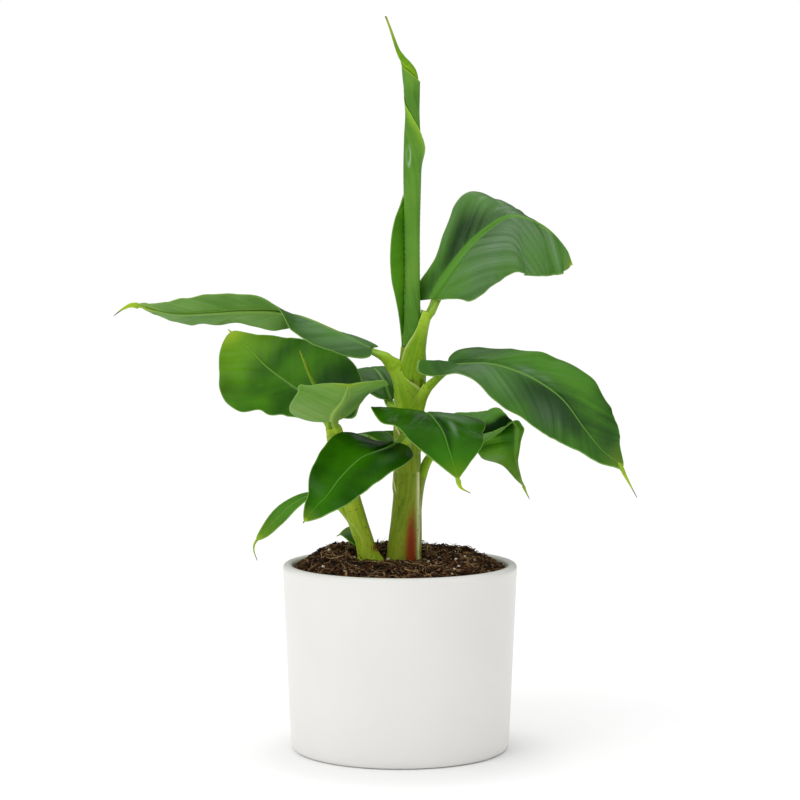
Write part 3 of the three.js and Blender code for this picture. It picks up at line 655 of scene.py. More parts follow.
def leaf_face(name, deep, lighter, rib=RIB_COLOUR, rib_line=(0.2, 0.45), roughness=0.4,
              gloss=0.3, veins=1.0, sheen_strength=0.8):
    """A leaf blade's face, from deep to lighter green, with painted sheen, midrib, veins and
    margin.
    """
    material, n, shader = start_material(name)
    vein = n.group(VEINS, Strength=veins)
    cloud = n.group(MOTTLE, Scale=22.0, Speck_Scale=420.0)
    tone = n.times(vein["Shade"], 0.5, n.times(cloud["Cloud"], 1.6))
    # The lighter mark is partly the leaf's own tone and partly painted light and shade.
    tone = n.times(n.mark("lighter"), 0.5, tone)
    colour = n.mix(n.fade(tone, -0.6, 0.6), deep, lighter)
    # Painted sheen: a greyish haze in streaks along the veins, standing for reflected light.
    streaky = n.times(vein["Shade"], 1.3, n.times(cloud["Cloud"], -1.2))
    painted_sheen = n.times(n.mark("painted_sheen"), n.fade(streaky, -0.5, 0.4, 0.2, 1.0))
    colour = n.mix(n.times(painted_sheen, sheen_strength), colour, SHEEN_COLOUR)
    colour = n.mix(n.fade(n.mark("rib"), *rib_line, 0.85, 0.0), colour, rib)
    colour = n.mix(n.times(n.mark("ripe"), 0.85), colour, RIPE_COLOUR)
    colour = n.mix(n.fade(n.mark("edge"), 0.25, 0.95, 0.85, 0.0), colour, MARGIN_COLOUR)
    colour = n.mix(n.times(cloud["Specks"], 0.2), colour, DRY_BROWN)
    rough = n.times(vein["Shade"], 0.25, n.times(cloud["Cloud"], 0.3, roughness))
    n.feed(shader, {"Base Color": colour, "Roughness": rough, "Specular IOR Level": gloss})
    bump(n, shader, vein["Height"], 0.5, 0.3)
    return material


def green_skin(name, deep, lighter, pale, tip, roughness=0.45, specks=0.3, streaks=1.0):
    """The skin of a stalk, stem or rolled leaf, with pale lips and a tip of its own colour."""
    material, n, shader = start_material(name)
    streak = n.group(STREAKS, Strength=streaks)
    cloud = n.group(MOTTLE, Scale=22.0, Speck_Scale=380.0)
    tone = n.math("ADD", streak["Shade"], n.times(cloud["Cloud"], 1.4))
    colour = n.mix(n.fade(tone, -0.6, 0.6), deep, lighter)
    colour = n.mix(n.times(n.mark("keel"), 0.6), colour, RIB_COLOUR)
    colour = n.mix(n.times(n.mark("pale"), 0.85), colour, pale)
    colour = n.mix(n.mark("tip"), colour, tip)
    colour = n.mix(n.fade(cloud["Cloud"], 0.02, 0.3, 0.0, specks), colour, OLIVE)
    blush = n.fade(n.times(streak["Shade"], 0.5, n.mark("blush")), 0.1, 0.9)
    colour = n.mix(blush, colour, BLUSH_COLOUR)
    colour = n.mix(n.fade(streak["Shade"], 0.3, 0.65, 0.0, specks), colour, OLIVE_STREAK)
    colour = n.mix(n.mark("dry"), colour, DRY_BROWN)
    # The painted glint's whitish colour, standing for reflected light.
    colour = n.mix(n.times(n.mark("glint"), 0.75), colour, GLINT_COLOUR)
    colour = n.mix(n.times(cloud["Specks"], specks), colour, DRY_BROWN)
    rough = n.times(cloud["Cloud"], 0.3, roughness)
    n.feed(shader, {"Base Color": colour, "Roughness": rough, "Specular IOR Level": SKIN_GLOSS})
    bump(n, shader, streak["Height"], 0.5, 0.4)
    return material


LEAF_FACES = {
    "sheen": leaf_face("leaf_upper_sheen", (0.005, 0.045, 0.0006), (0.058, 0.215, 0.005),
                       gloss=0.24, roughness=0.36, veins=1.2),
    "ribbed": leaf_face("leaf_upper_ribbed", (0.006, 0.04, 0.0015), (0.065, 0.22, 0.008),
                        rib=(0.1, 0.3, 0.02), rib_line=(0.5, 0.8), gloss=0.34, roughness=0.36,
                        veins=1.9, sheen_strength=0.9),
    "glossy": leaf_face("leaf_upper_glossy", (0.002, 0.03, 0.0001), (0.035, 0.17, 0.001),
                        rib=(0.1, 0.28, 0.03), gloss=0.09, roughness=0.22, veins=0.3, sheen_strength=1),
    "bright": leaf_face("leaf_upper_bright", (0.008, 0.06, 0.0006), (0.075, 0.26, 0.002),
                        gloss=0.14, roughness=0.36, veins=0.55, sheen_strength=0.5),
    # A darker copy of the upper face: its deepest green paints the shade inside a gutter.
    "shaded": leaf_face("leaf_upper_shaded", (0.001, 0.018, 0.0005), (0.1, 0.3, 0.01), gloss=0,
                        roughness=0.6, veins=0.55, sheen_strength=0.8),
    "pale": leaf_face("leaf_under_pale", (0.07, 0.21, 0.012), (0.17, 0.35, 0.055),
                      rib=(0.2, 0.4, 0.06), rib_line=(0.75, 1.25), roughness=0.55, gloss=0.22,
                      veins=1.1),
    "soft": leaf_face("leaf_under_soft", (0.1, 0.28, 0.022), (0.23, 0.42, 0.08),
                      rib=(0.42, 0.62, 0.13), rib_line=(1.1, 2), roughness=0.6, gloss=0.25,
                      veins=1.1),
    "green": leaf_face("leaf_under_green", (0.032, 0.16, 0.001), (0.095, 0.29, 0.007),
                       rib=(0.15, 0.34, 0.04), rib_line=(0.75, 1.25), roughness=0.5, gloss=0.14,
                       veins=0.7),
}
SKINS = {
    "stalk": green_skin("stalk_skin", (0.19, 0.4, 0.005), (0.43, 0.61, 0.036),
                        (0.5, 0.66, 0.14), (0.34, 0.5, 0.008)),
    "sheath": green_skin("sheath_skin", (0.12, 0.28, 0.002), (0.33, 0.49, 0.022),
                         (0.6, 0.68, 0.24), (0.46, 0.68, 0.05), specks=0.5, streaks=1.2),
    # Its pale colour, near white, also paints light on the stem's pale strip.
    "stem": green_skin("stem_skin", (0.09, 0.18, 0.0005), (0.33, 0.42, 0.02), (0.95, 0.93, 0.5),
                       (0.3, 0.4, 0.06), specks=0.55, streaks=1.15),
    "young": green_skin("young_stem_skin", (0.2, 0.36, 0.003), (0.5, 0.62, 0.04),
                        (0.62, 0.66, 0.2), (0.3, 0.4, 0.06), specks=0.6, streaks=1.2),
    "rolled": green_skin("rolled_leaf_skin", (0.04, 0.15, 0.008), (0.15, 0.35, 0.036),
                         (0.34, 0.6, 0.04), (0.26, 0.45, 0.03), roughness=0.38, specks=0.1,
                         streaks=0.45),
    "hood": green_skin("rolled_leaf_hood_skin", (0.08, 0.24, 0.0004), (0.18, 0.38, 0.001),
                       (0.42, 0.58, 0.03), (0.32, 0.42, 0.03), specks=0.1),
}


def make_glaze():
    """The pot's white glaze, a little uneven."""
    material, n, shader = start_material("white_glaze")
    cloud = n.group(MOTTLE, Scale=14.0, Speck_Scale=300.0)["Cloud"]
    colour = n.mix(n.fade(cloud, -0.3, 0.3), (0.76, 0.75, 0.725), (0.79, 0.78, 0.755))
    n.feed(shader, {"Base Color": colour, "Roughness": n.times(cloud, 0.12, 0.32)})
    bump(n, shader, n.noise(260.0, 2.0), 0.08, 0.3)
    return material


def make_soil(name, dark, light):
    """Grainy peat, bark, fibre or grit, between two colours."""
    material, n, shader = start_material(name)
    grain = n.noise(900.0, 3.0, 0.65)
    tone = n.fade(n.math("ADD", grain, n.noise(70.0, 3.0)), -0.3, 0.35)
    n.feed(shader, {"Base Color": n.mix(tone, dark, light),
                    "Roughness": n.times(grain, 0.1, 0.95), "Specular IOR Level": SOIL_GLOSS})
    bump(n, shader, grain, 0.8, 0.6)
    return material


# ------------------------------------------------------------------ leaves

def ripeness(place, leaf, length, ripe):
    """1 at the blade's end, falling fast and then slowly to 0 up the blade."""
    gap = leaf["petiole"] + length - place
    return 1 - 0.7 * ease(0, ripe, gap) - 0.3 * ease(0, 4 * ripe, gap)


def spot(share, across, along, over, length, width):
    """1 in the middle of a spot on a blade, fading all round it."""
    return np.exp(-(((share - along) / length) ** 2) - ((across - over) / width) ** 2)


def patch_marks(name, share, across):
    """How much painted sheen each point of a blade has, and how much lighter or deeper it is."""
    painted_sheen = lighter = 0 * share * across
    for *where, sheen_amount, light_and_tone in PATCHES.get(name, []):
        near = spot(share, across, *where)
        painted_sheen, lighter = painted_sheen + sheen_amount * near, lighter + light_and_tone * near
    return {"painted_sheen": np.clip(painted_sheen, 0, 1), "lighter": lighter}


def dents(name, share, across):
    """How far a blade is pushed in or out along its normal where it is creased or cupped."""
    push = 0 * share * across
    for *where, depth in DENTS.get(name, []):
        push = push + depth * spot(share, across, *where)
    return push


def make_blade(name, leaf, rib):
    """The thin blade: two sides folded and swept from the midrib, with waves between its veins."""
    depth, lean, upper, under, _, ripe = DRESS[name]
    seed = len(name) + leaf["width"]
    length = blade_length(leaf, rib)
    q = np.linspace(0, 1, BLADE_ROWS)[:, None]
    torn = 1 + 0.005 * waves(q * length, seed, (9, 17, 29), (0.5, 0.8, 1))
    share = 0.5 * q + 0.25 * (1 - np.cos(np.pi * q))
    place = leaf["petiole"] + share * length
    point, along, left, up = (v[:, None, :] for v in stations(rib, place[:, 0]))
    half = np.maximum(half_width(leaf, share), 0.7)
    rib_half = rib_half_width(leaf, share)
    slant = math.hypot(1, lean)
    ripening = ripeness(place, leaf, length, ripe)
    outward = (np.arange(1, HALF_COLUMNS + 1) / HALF_COLUMNS) ** 1.4
    parts = []
    for side, key, fraction in ((-1, "right", outward[::-1]), (1, "left", outward)):
        reach, fold, curl, sweep = read_rows(leaf.get(key, leaf["left"]), share)
        reach = half * np.maximum(reach, 0.1) * np.roll(torn, 7 * side)
        fold, curl = np.radians(fold), np.radians(curl)
        curl = np.where(np.abs(curl) < 1e-4, 1e-4, curl)
        slope = fold + curl * fraction
        out = (np.sin(slope) - np.sin(fold)) / curl * reach
        lift = (np.cos(fold) - np.cos(slope)) / curl * reach
        drift = sweep * reach * fraction**1.5
        distance = reach * fraction
        across = side * distance / reach
        vein = place + drift - lean * distance - 0.3 * distance**2 / leaf["width"]
        vein = vein / slant
        ripple = depth * waves(vein / (1 + 0.5 * lean), seed + side)
        ripple = ripple * ease(0, 9, distance - rib_half)
        ripple = ripple * ease(0, 14, reach) * (1 - 0.6 * fraction**4)
        ruffle = 0.03 * reach * fraction**3
        ruffle = ruffle * waves(place, seed - side, (19, 31, 47), (0.4, 0.7, 0.8))
        channel = -CHANNEL * rib_half * np.clip(1 - (distance / rib_half) ** 2, 0, 1)
        height = ripple + ruffle + channel + dents(name, share, across)
        normal = up * np.cos(slope)[..., None] - side * left * np.sin(slope)[..., None]
        body = (point + side * left * out[..., None] + up * lift[..., None]
                + along * drift[..., None] + normal * height[..., None])
        marks = {"across": side * distance, "vein": vein, "edge": reach - distance,
                 "rib": distance / rib_half, "ripe": ripening}
        parts.append((body, {**marks, **patch_marks(name, share, across)}))
    centre = {"across": 0, "vein": place / slant, "edge": half, "rib": 0, "ripe": ripening,
              **patch_marks(name, share, 0)}
    parts.insert(1, (point - up * (CHANNEL * rib_half)[..., None], centre))
    body = np.concatenate([points for points, _ in parts], axis=1)
    marks = {key: np.concatenate([np.broadcast_to(own[key], points.shape[:2])
                                  for points, own in parts], axis=1) for key in centre}
    faces = grid_faces(BLADE_ROWS, body.shape[1])
    skins = [LEAF_FACES[upper], LEAF_FACES[under]]
    piece = make_piece("blade_" + name, body, faces, skins, marks)
    thicken(piece, BLADE_THICK, back=1)
    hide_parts("leaf_" + name)


def core_at(stem, height):
    """Centre and radius of what a sheath wraps: the stem, or the rolled leaf above it."""
    rows, above = (MAIN_STEM, SPEAR) if stem == "main" else (SUCKER_STEM, SUCKER_SPEAR)
    return np.where(height > rows[-1][0], read_rows(above, height), read_rows(rows, height))


def leaving_place(leaf, rib):
    """Where along its midrib a stalk stands clear of the stem."""
    x, y, radius = core_at(leaf["stem"], rib["point"][:, 2])
    gap = np.hypot(rib["point"][:, 0] - x, rib["point"][:, 1] - y) - radius
    limit = 0.75 * leaf["petiole"]
    free = np.nonzero((gap > 0.55 * leaf["foot"]) | (rib["place"] > limit))[0][0]
    return rib["place"][free]


# Leaves whose keel is slimmer under the blade than their stalk.
SLIM_KEELS = {"right_gutter": 0.4}


def make_stalk(name, leaf, rib):
    """A leaf stalk that runs on as the keel under the blade and as the thread tip."""
    thread_radius = DRESS[name][4]
    whole = rib["place"][-1]
    petiole, length = leaf["petiole"], blade_length(leaf, rib)
    place = np.linspace(0, whole, int(whole / STALK_STEP))[:, None]
    t = np.clip(place / petiole, 0, 1)
    share = np.clip((place - petiole) / length, 0, 1)
    thread = np.clip((place - petiole - length) / leaf["tail"], 0, 1)
    keel = rib_half_width(leaf, share) * (1 - (1 - SLIM_KEELS.get(name, 1)) * ease(0, 0.3, share))
    keel = np.maximum(keel, thread_radius * ease(0.88, 1, share))
    leave = leaving_place(leaf, rib)
    limb = limb_radius(leaf, t) * (0.84 + 0.16 * ease(leave - 5, leave + 1, place))
    end = THREAD_END + (thread_radius - THREAD_END) * (1 - thread) ** 1.4
    wide = np.where(thread > 0, end, np.where(t < 1, limb, keel))
    turn_in = ease(0.45, 1, t)
    tall = np.where(thread > 0, wide, wide * (1 - 0.5 * turn_in))
    drop = turn_in * (tall + 0.35 * wide) * (1 - ease(0.9, 1, share))
    groove = 0.5 * ease(0.1, 0.5, t)
    angle = full_turn(28)
    from_top = np.abs((angle - np.pi / 2 + np.pi) % (2 * np.pi) - np.pi)
    dip = 1 - groove * bell(from_top, 0, 0.62)
    point, _, left, up = (v[:, None, :] for v in stations(rib, place[:, 0]))
    rings, faces = capped_rings(point + left * (wide * dip * np.cos(angle))[..., None]
                                + up * (tall * dip * np.sin(angle) - drop)[..., None])
    marks = {
        "along": place, "around": wide * angle,
        "pale": bell(from_top, 0.78, 0.16) * (groove * (1 - share)),
        "tip": 0.6 * ease(0.85, 1, share) + 0.4 * ease(0, 0.3, thread),
        "dry": ease(0.6, 0.85, thread),
        "keel": ease(0.5, 1, t) + 0.4 * ease(0, 0.15, share),
    }
    stalk = make_piece("stalk_" + name, rings, faces, [SKINS["stalk"]], marks)
    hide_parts("petiole_" + name)


def make_sheath(name, leaf, rib):
    """The sheet that a stalk's foot opens into, from an arc under the stalk to round its stem."""
    below, wrap, skin = SHEATHS[name]
    leave = leaving_place(leaf, rib)
    point, along, left, up = (v[0] for v in stations(rib, np.array([leave])))
    rows, columns = 34, 41
    v = np.linspace(-1, 1, columns)
    t = np.linspace(0, 1, rows)[:, None]
    radius = limb_radius(leaf, leave / leaf["petiole"])
    angle = -np.pi / 2 + v * math.radians(138)
    top = point + radius * 0.97 * (np.cos(angle)[:, None] * left + np.sin(angle)[:, None] * up)
    foot = max(point[2] - below, SHEATH_FLOOR)
    x, y, core = core_at(leaf["stem"], foot)
    facing = math.atan2(point[1] - y, point[0] - x)
    bottom = ring_points(x, y, core - 0.5, facing + v * math.radians(wrap), foot)
    pull = np.linalg.norm(top - bottom, axis=1)[:, None]
    rise = np.array([0, 0, 1.0]) * pull
    lead = along * pull * 0.8
    s = t[..., None]
    body = ((2 * s**3 - 3 * s**2 + 1) * bottom + (s**3 - 2 * s**2 + s) * rise
            + (3 * s**2 - 2 * s**3) * top + (s**3 - s**2) * lead)
    x, y, core = core_at(leaf["stem"], body[..., 2])
    out = body[..., :2] - np.stack([x, y], axis=-1)
    distance = np.linalg.norm(out, axis=-1)
    layer = 0.25 * list(SHEATHS).index(name) if leaf["stem"] == "main" else 0.3
    clear = core - 0.45 + (1.1 + min(layer, 0.8)) * ease(0, 0.3, t) * (1 - 0.4 * v**2)
    body[..., :2] += out / distance[..., None] * np.maximum(clear - distance, 0)[..., None]
    marks = {
        "along": body[..., 2], "around": 16 * v, "tip": 0.6 * ease(0.45, 1, t),
        "pale": ease(0.9, 1, np.abs(v)) * ease(0.02, 0.2, t),
    }
    faces = grid_faces(rows, columns, outward=True)
    sheath = make_piece("sheath_" + name, body, faces, [SKINS[skin]], marks)
    thicken(sheath, SHEATH_THICK, inward=True)


# ------------------------------------------------------------------ stems and rolled leaves

def make_stem(name, rows, replaced, skin, blush_at, lit=1, blushing=1):
    """A stem of wrapped leaf bases: fine upright ribs, and a blush low on one side."""
    height = np.linspace(rows[0][0], rows[-1][0], 120)[:, None]
    angle = full_turn(96)
    x, y, radius = read_rows(rows, height)
    twist = angle + 0.0012 * (height - rows[0][0])
    ribs = 0.1 * np.sin(23 * twist) + 0.14 * np.sin(9 * twist + 1) + 0.07 * np.sin(41 * twist)
    swell = 0.12 * waves(height + 4 * np.sin(angle), 3, (23, 41), (0.5, 0.8))
    r = radius + ribs + swell
    rings, faces = capped_rings(ring_points(x, y, r, angle, height))
    off = (angle - math.radians(blush_at) + np.pi) % (2 * np.pi) - np.pi
    blush = blushing * bell(off, 0, 0.44) * (1 - ease(165, 215, height))
    blush = np.maximum(blush, 0.7 * bell(off, 0.12, 0.1) * (1 - ease(180, 225, height)))
    # The pale strip beside the blush is partly pale skin and partly painted light: lit paints it
    # brighter, to stand for the light on that side.
    marks = {
        "along": height, "around": r * angle, "blush": blush,
        "pale": lit * bell(off, 0.72, 0.3) * (1 - ease(205, 260, height)),
    }
    stem = make_piece(name, rings, faces, [SKINS[skin]], marks)
    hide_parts(replaced)


def make_dry_scale(name, stem, facing, wrap, tall, red):
    """A short dry sheath end that hugs a stem above and flares out at its foot."""
    rows, columns = 16, 30
    v = np.linspace(-1, 1, columns)
    t = np.linspace(0, 1, rows)[:, None]
    azimuth = math.radians(facing) + v * math.radians(wrap)
    top = tall * (1 - 0.75 * v**2) * (1 + 0.25 * waves(v * 20, 5, (3, 7, 13)))
    height = SHEATH_FLOOR + t * top
    x, y, core = core_at(stem, height)
    r = core + 0.3 + 5.5 * (1 - t) ** 1.4 * (1 + 0.3 * np.sin(5 * v))
    body = ring_points(x, y, r, azimuth, height)
    marks = {
        "along": height, "around": 9 * azimuth, "dry": 0.6 * ease(0.85, 1, t),
        "blush": red * ease(0.5, 0.95, t + 0.5 * v),
    }
    scale = make_piece(name, body, grid_faces(rows, columns, outward=True), [SKINS["young"]], marks)
    thicken(scale, 0.4, inward=True)


# Where the free margin of the rolled leaf runs: [height, degrees round from +X].
SEAM = [
    [326, 545], [400, 470], [430, 440], [464, 405], [476, 385], [485, 366], [490, 352],
    [498, 327], [506, 287], [512, 256], [516, 228], [520, 196], [526, 165], [552, 110],
]
# Its outer turn, up to the slanting rim: [height, x, y, radius].
SLEEVE = SPEAR[:8] + [[540, 9, 0, 7.3], [556, 8.4, 0, 8]]
RIM_HEIGHT, RIM_SLANT = 544, 5.8
# The pale ring on it, a painted glint on a slight rise: middle height, half height, half width.
GLINT_RING = (479, 7.5, 1.7)


def make_spear():
    """The rolled leaf's outer turn, with a free margin and a slanting rim."""
    rows, columns = 300, 90
    angle = np.linspace(0, 2 * np.pi + 0.6, columns)
    height = np.linspace(SPEAR[0][0], RIM_HEIGHT, rows)[:, None]
    turn = np.radians(read_rows(SEAM, height)[0]) - angle
    z = height - RIM_SLANT * np.cos(turn) * ease(RIM_HEIGHT - 34, RIM_HEIGHT, height)
    x, y, radius = read_rows(SLEEVE, z)
    flare = 3 * bell(height, 484, 11) * bell(angle, 0, 0.8)
    tuck = 0.9 * (1 - np.exp(-angle / 2.2))
    r = radius + 0.35 - tuck + flare + 0.06 * np.sin(23 * turn) + 0.05 * np.sin(41 * turn)
    margin = np.exp(-r * angle / 1.2)
    band = 0.4 * bell(r * angle, 3, 3.5) * ease(470, 485, height)
    rim = np.exp(-(RIM_HEIGHT - height) / 0.6)
    middle, half_high, half_wide = GLINT_RING
    across = (r * np.cos(turn) + 3) / half_wide
    # A painted glint: a whitish ring of reflected light, on a slight rise.
    glint = bell(np.hypot((z - middle) / half_high, across), 1, 0.28) * (np.sin(turn) < 0)
    glint = glint * (0.3 + 0.7 * ease(-0.2, 0.6, across)) * (1 - 0.6 * ease(480, 487, z))
    body = ring_points(x, y, r + 0.25 * glint, turn, z)
    marks = {"along": z, "around": r * angle, "pale": np.clip(margin + rim + band, 0, 1),
             "glint": glint}
    outer = make_piece("rolled_leaf", body, grid_faces(rows, columns), [SKINS["rolled"]], marks)
    thicken(outer, 0.45, inward=True)
    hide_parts("spear_leaf")


def make_hood():
    """The rolled leaf's pinched hood and thread tip, inside its outer turn."""
    height = np.linspace(530, SPEAR[-1][0], 140)[:, None]
    x, y, radius = read_rows(SPEAR, height)
    angle = full_turn(48)
    rolled = (angle / (2 * np.pi) + (height - 536) / 46) % 1
    lower = 1 - ease(556, 572, height)
    inner = (radius - 1.1 * (1 - ease(538, 552, height))) * (1 - 0.2 * rolled * lower)
    rings, faces = capped_rings(ring_points(x, y, inner, angle, height))
    fold = np.exp(-((1 - rolled) / 0.03)) + np.exp(-rolled / 0.03)
    marks = {
        "along": height, "around": inner * angle, "pale": 0.6 * fold * lower,
        "tip": ease(562, 586, height), "dry": 0.5 * ease(584, 590, height),
    }
    hood = make_piece("rolled_leaf_hood", rings, faces, [SKINS["hood"]], marks)


# The loose strip down the rolled leaf's left side: [height, width].
FLAP = [
    [325, 0.4], [332, 1.2], [351, 4.4], [365, 7.6], [376, 10.3], [389, 11.6], [400, 11.6],
    [414, 10.3], [427, 7.4], [437, 3.4], [446, 0.3],
]


def make_flap():
    """The loose strip, from the rolled leaf's side out to its own free margin."""
    rows, columns = 90, 12
    height = np.linspace(FLAP[0][0], FLAP[-1][0], rows)[:, None]
    width = np.maximum(read_rows(FLAP, height)[0], 0.4)
    u = np.linspace(0, 1, columns)
    x, y, radius = read_rows(SPEAR, height)
    bow = 3.4 * np.sin(np.pi * 0.5 * u) * width / 11
    body = np.stack([
        x - radius * 0.96 - width * u, y + 1.2 - bow + 0.25 * waves(height + 9 * u, 2),
        height + 2 * u,
    ], axis=-1)
    marks = {"across": width * u, "vein": height + 0.7 * width * u, "edge": width * (1 - u),
             "rib": 9, "lighter": 0.3}
    flap = make_piece("rolled_leaf_flap", body, grid_faces(rows, columns),
                      [LEAF_FACES["bright"], LEAF_FACES["green"]], marks)
    thicken(flap, BLADE_THICK, back=1)
    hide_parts("spear_flap")


def make_sucker_spear():
    """The offshoot's own rolled leaf."""
    height = np.linspace(SUCKER_SPEAR[0][0], SUCKER_SPEAR[-1][0], 80)[:, None]
    angle = full_turn(32)
    x, y, radius = read_rows(SUCKER_SPEAR, height)
    r = radius * (1 - 0.25 * ((angle / (2 * np.pi) + (height - 260) / 45) % 1))
    rings, faces = capped_rings(ring_points(x, y, r, angle, height))
    marks = {"along": height, "around": r * angle, "tip": 0.2 + 0.5 * ease(290, 323, height)}
    piece = make_piece("sucker_rolled_leaf", rings, faces, [SKINS["hood"]], marks)
    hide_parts("sucker_spear_leaf")


# ------------------------------------------------------------------ pot and potting mix

# The pot's section, from the middle of its underside round the rim and down to the inner floor.
POT_SECTION = [
    (0, 0), (60, 0), (82.5, 0), (84, 0.1), (85.6, 0.45), (86.7, 1.1), (87.6, 2.6), (88.2, 4.8),
    (88.6, 7.2), (88.8, 9.6), (89.6, 28), (91, 61), (92.6, 98), (94, 131), (94.5, 143),
    (94.8, 145), (95, 146.5), (94.85, 148), (94.4, 149.2), (93.7, 150.1), (92.8, 150.6),
    (91.9, 150.9), (91, 151), (89.9, 150.9), (88.8, 150.6), (88, 150.1), (87.4, 149.2),
    (87.2, 148.2), (87.2, 147), (86, 125), (83, 64), (80.7, 16), (79.5, 12.5), (75.7, 10), (0, 10),
]
MIX_DOME = [[0, 153.4], [22, 153], [48, 153.6], [62, 152.5], [76, 149.5], [88, 146]]
WALL = 86.2             # inner radius of the pot at the potting mix
BED_FOOT = 130          # how far down the mix's bed reaches


def make_pot():
    """The pot, turned from its section, with its underside and inner floor shaded flat."""
    r, z = np.array(POT_SECTION[1:-1], float).T[..., None]
    rings, faces = capped_rings(ring_points(0, 0, r, full_turn(160), z))
    pot = make_piece("plain_pot", rings, faces, [make_glaze()])
    pot.data.polygons.foreach_set("use_smooth", [len(f) == 4 for f in faces])
    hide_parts("pot")


def mix_height(x, y):
    """How high the potting mix stands: a dome with bumps, heaped a little to the back."""
    radius = np.hypot(x, y)
    (dome,) = read_rows(MIX_DOME, radius)
    bumps = 1.2 * np.sin(0.21 * x + 1) * np.sin(0.17 * y) + 0.9 * np.sin(0.43 * x - 0.31 * y)
    heap = (5 - 0.02 * x) * ease(5, 40, y) * (1 - ease(62, 84, radius))
    heap = heap + (2.6 - 0.015 * x) * ease(30, 55, np.abs(x))
    return dome + (bumps + heap) * (1 - ease(70, 88, radius)) - 0.8


def scatter(count, rng, clear):
    """Points over the potting mix, away from the pot's wall and out of the stems."""
    x, y = rng.uniform(-WALL, WALL, (2, count * 3))
    keep = np.hypot(x, y) < WALL - clear
    for stem in (MAIN_STEM, SUCKER_STEM):
        keep &= np.hypot(x - stem[1][1], y - stem[1][2]) > stem[1][3] + clear
    return x[keep][:count], y[keep][:count]


# A lump with twenty sides: its corners on a ball, and its faces.
GOLDEN = (1 + 5**0.5) / 2
LUMP_CORNERS = unit(np.array([
    np.roll([a, b * GOLDEN, 0], turn) for turn in range(3) for b in (1, -1) for a in (-1, 1)
]))
LUMP_FACES = np.array([
    [0, 11, 5], [0, 5, 1], [0, 1, 7], [0, 7, 10], [0, 10, 11], [1, 5, 9], [5, 11, 4],
    [11, 10, 2], [10, 7, 6], [7, 1, 8], [3, 9, 4], [3, 4, 2], [3, 2, 6], [3, 6, 8],
    [3, 8, 9], [4, 9, 5], [2, 4, 11], [6, 2, 10], [8, 6, 7], [9, 8, 1],
])


def random_turn(rng):
    """A turn to any side, as a matrix."""
    w, x, y, z = unit(rng.normal(size=4))
    return np.array([
        [1 - 2 * (y * y + z * z), 2 * (x * y - z * w), 2 * (x * z + y * w)],
        [2 * (x * y + z * w), 1 - 2 * (x * x + z * z), 2 * (y * z - x * w)],
        [2 * (x * z - y * w), 2 * (y * z + x * w), 1 - 2 * (x * x + y * y)],
    ])


def make_crumbs(name, count, sizes, stretch, material, seed, lift=0.2):
    """Loose lumps over the potting mix, pushed out of round and joined in one piece."""
    rng = np.random.default_rng(seed)
    corners = len(LUMP_CORNERS)
    x, y = scatter(count, rng, sizes[1] + 0.4)
    points, faces = [], []
    for cx, cy in zip(x, y):
        shape = LUMP_CORNERS * rng.uniform(0.7, 1.2, (corners, 1))
        size = sizes[0] + (sizes[1] - sizes[0]) * rng.random() ** 2.2
        shape = (shape * size * stretch) @ random_turn(rng).T
        centre = [cx, cy, mix_height(cx, cy) + size * lift + rng.random() * 0.6]
        faces.extend((LUMP_FACES + corners * len(points)).tolist())
        points.append(shape + centre)
    piece = make_piece(name, np.concatenate(points), faces, [material], smooth=False)


def make_fibres(name, count, material, seed, length=(6, 20), thick=0.22, rise=0.6):
    """Thin bent strands lying over the potting mix, joined in one piece."""
    rng = np.random.default_rng(seed)
    x, y = scatter(count, rng, 2)
    rings, sides = 7, 4
    t = np.linspace(-1, 1, rings)
    strand_faces = grid_faces(rings, sides, closed=True)
    points, faces = [], []
    for cx, cy in zip(x, y):
        reach = rng.uniform(*length) / 2
        direction = rng.uniform(0, 2 * np.pi) + rng.normal(0, 0.6) * t
        px, py = cx + reach * t * np.cos(direction), cy + reach * t * np.sin(direction)
        inward = np.minimum(1, (WALL - 1) / np.hypot(px, py))
        px, py = px * inward, py * inward
        arch = rng.uniform(0.2, 2) * (1 - t**2) + reach * rng.normal(0, rise) * 0.3 * t
        line = np.column_stack([px, py, mix_height(px, py) + 0.8 + np.abs(arch)])
        along = unit(np.gradient(line, axis=0))
        side = unit(np.cross(along, [0, 0, 1]))
        over = np.cross(side, along)
        taper = thick * rng.uniform(0.5, 1.6) * (1 - 0.7 * t**2)[:, None]
        ring = [line + taper * side, line + taper * over, line - taper * side, line - taper * over]
        start = rings * sides * len(points)
        points.append(np.stack(ring, axis=1).reshape(-1, 3))
        faces.extend([start + v for v in face] for face in strand_faces)
    piece = make_piece(name, np.concatenate(points), faces, [material])


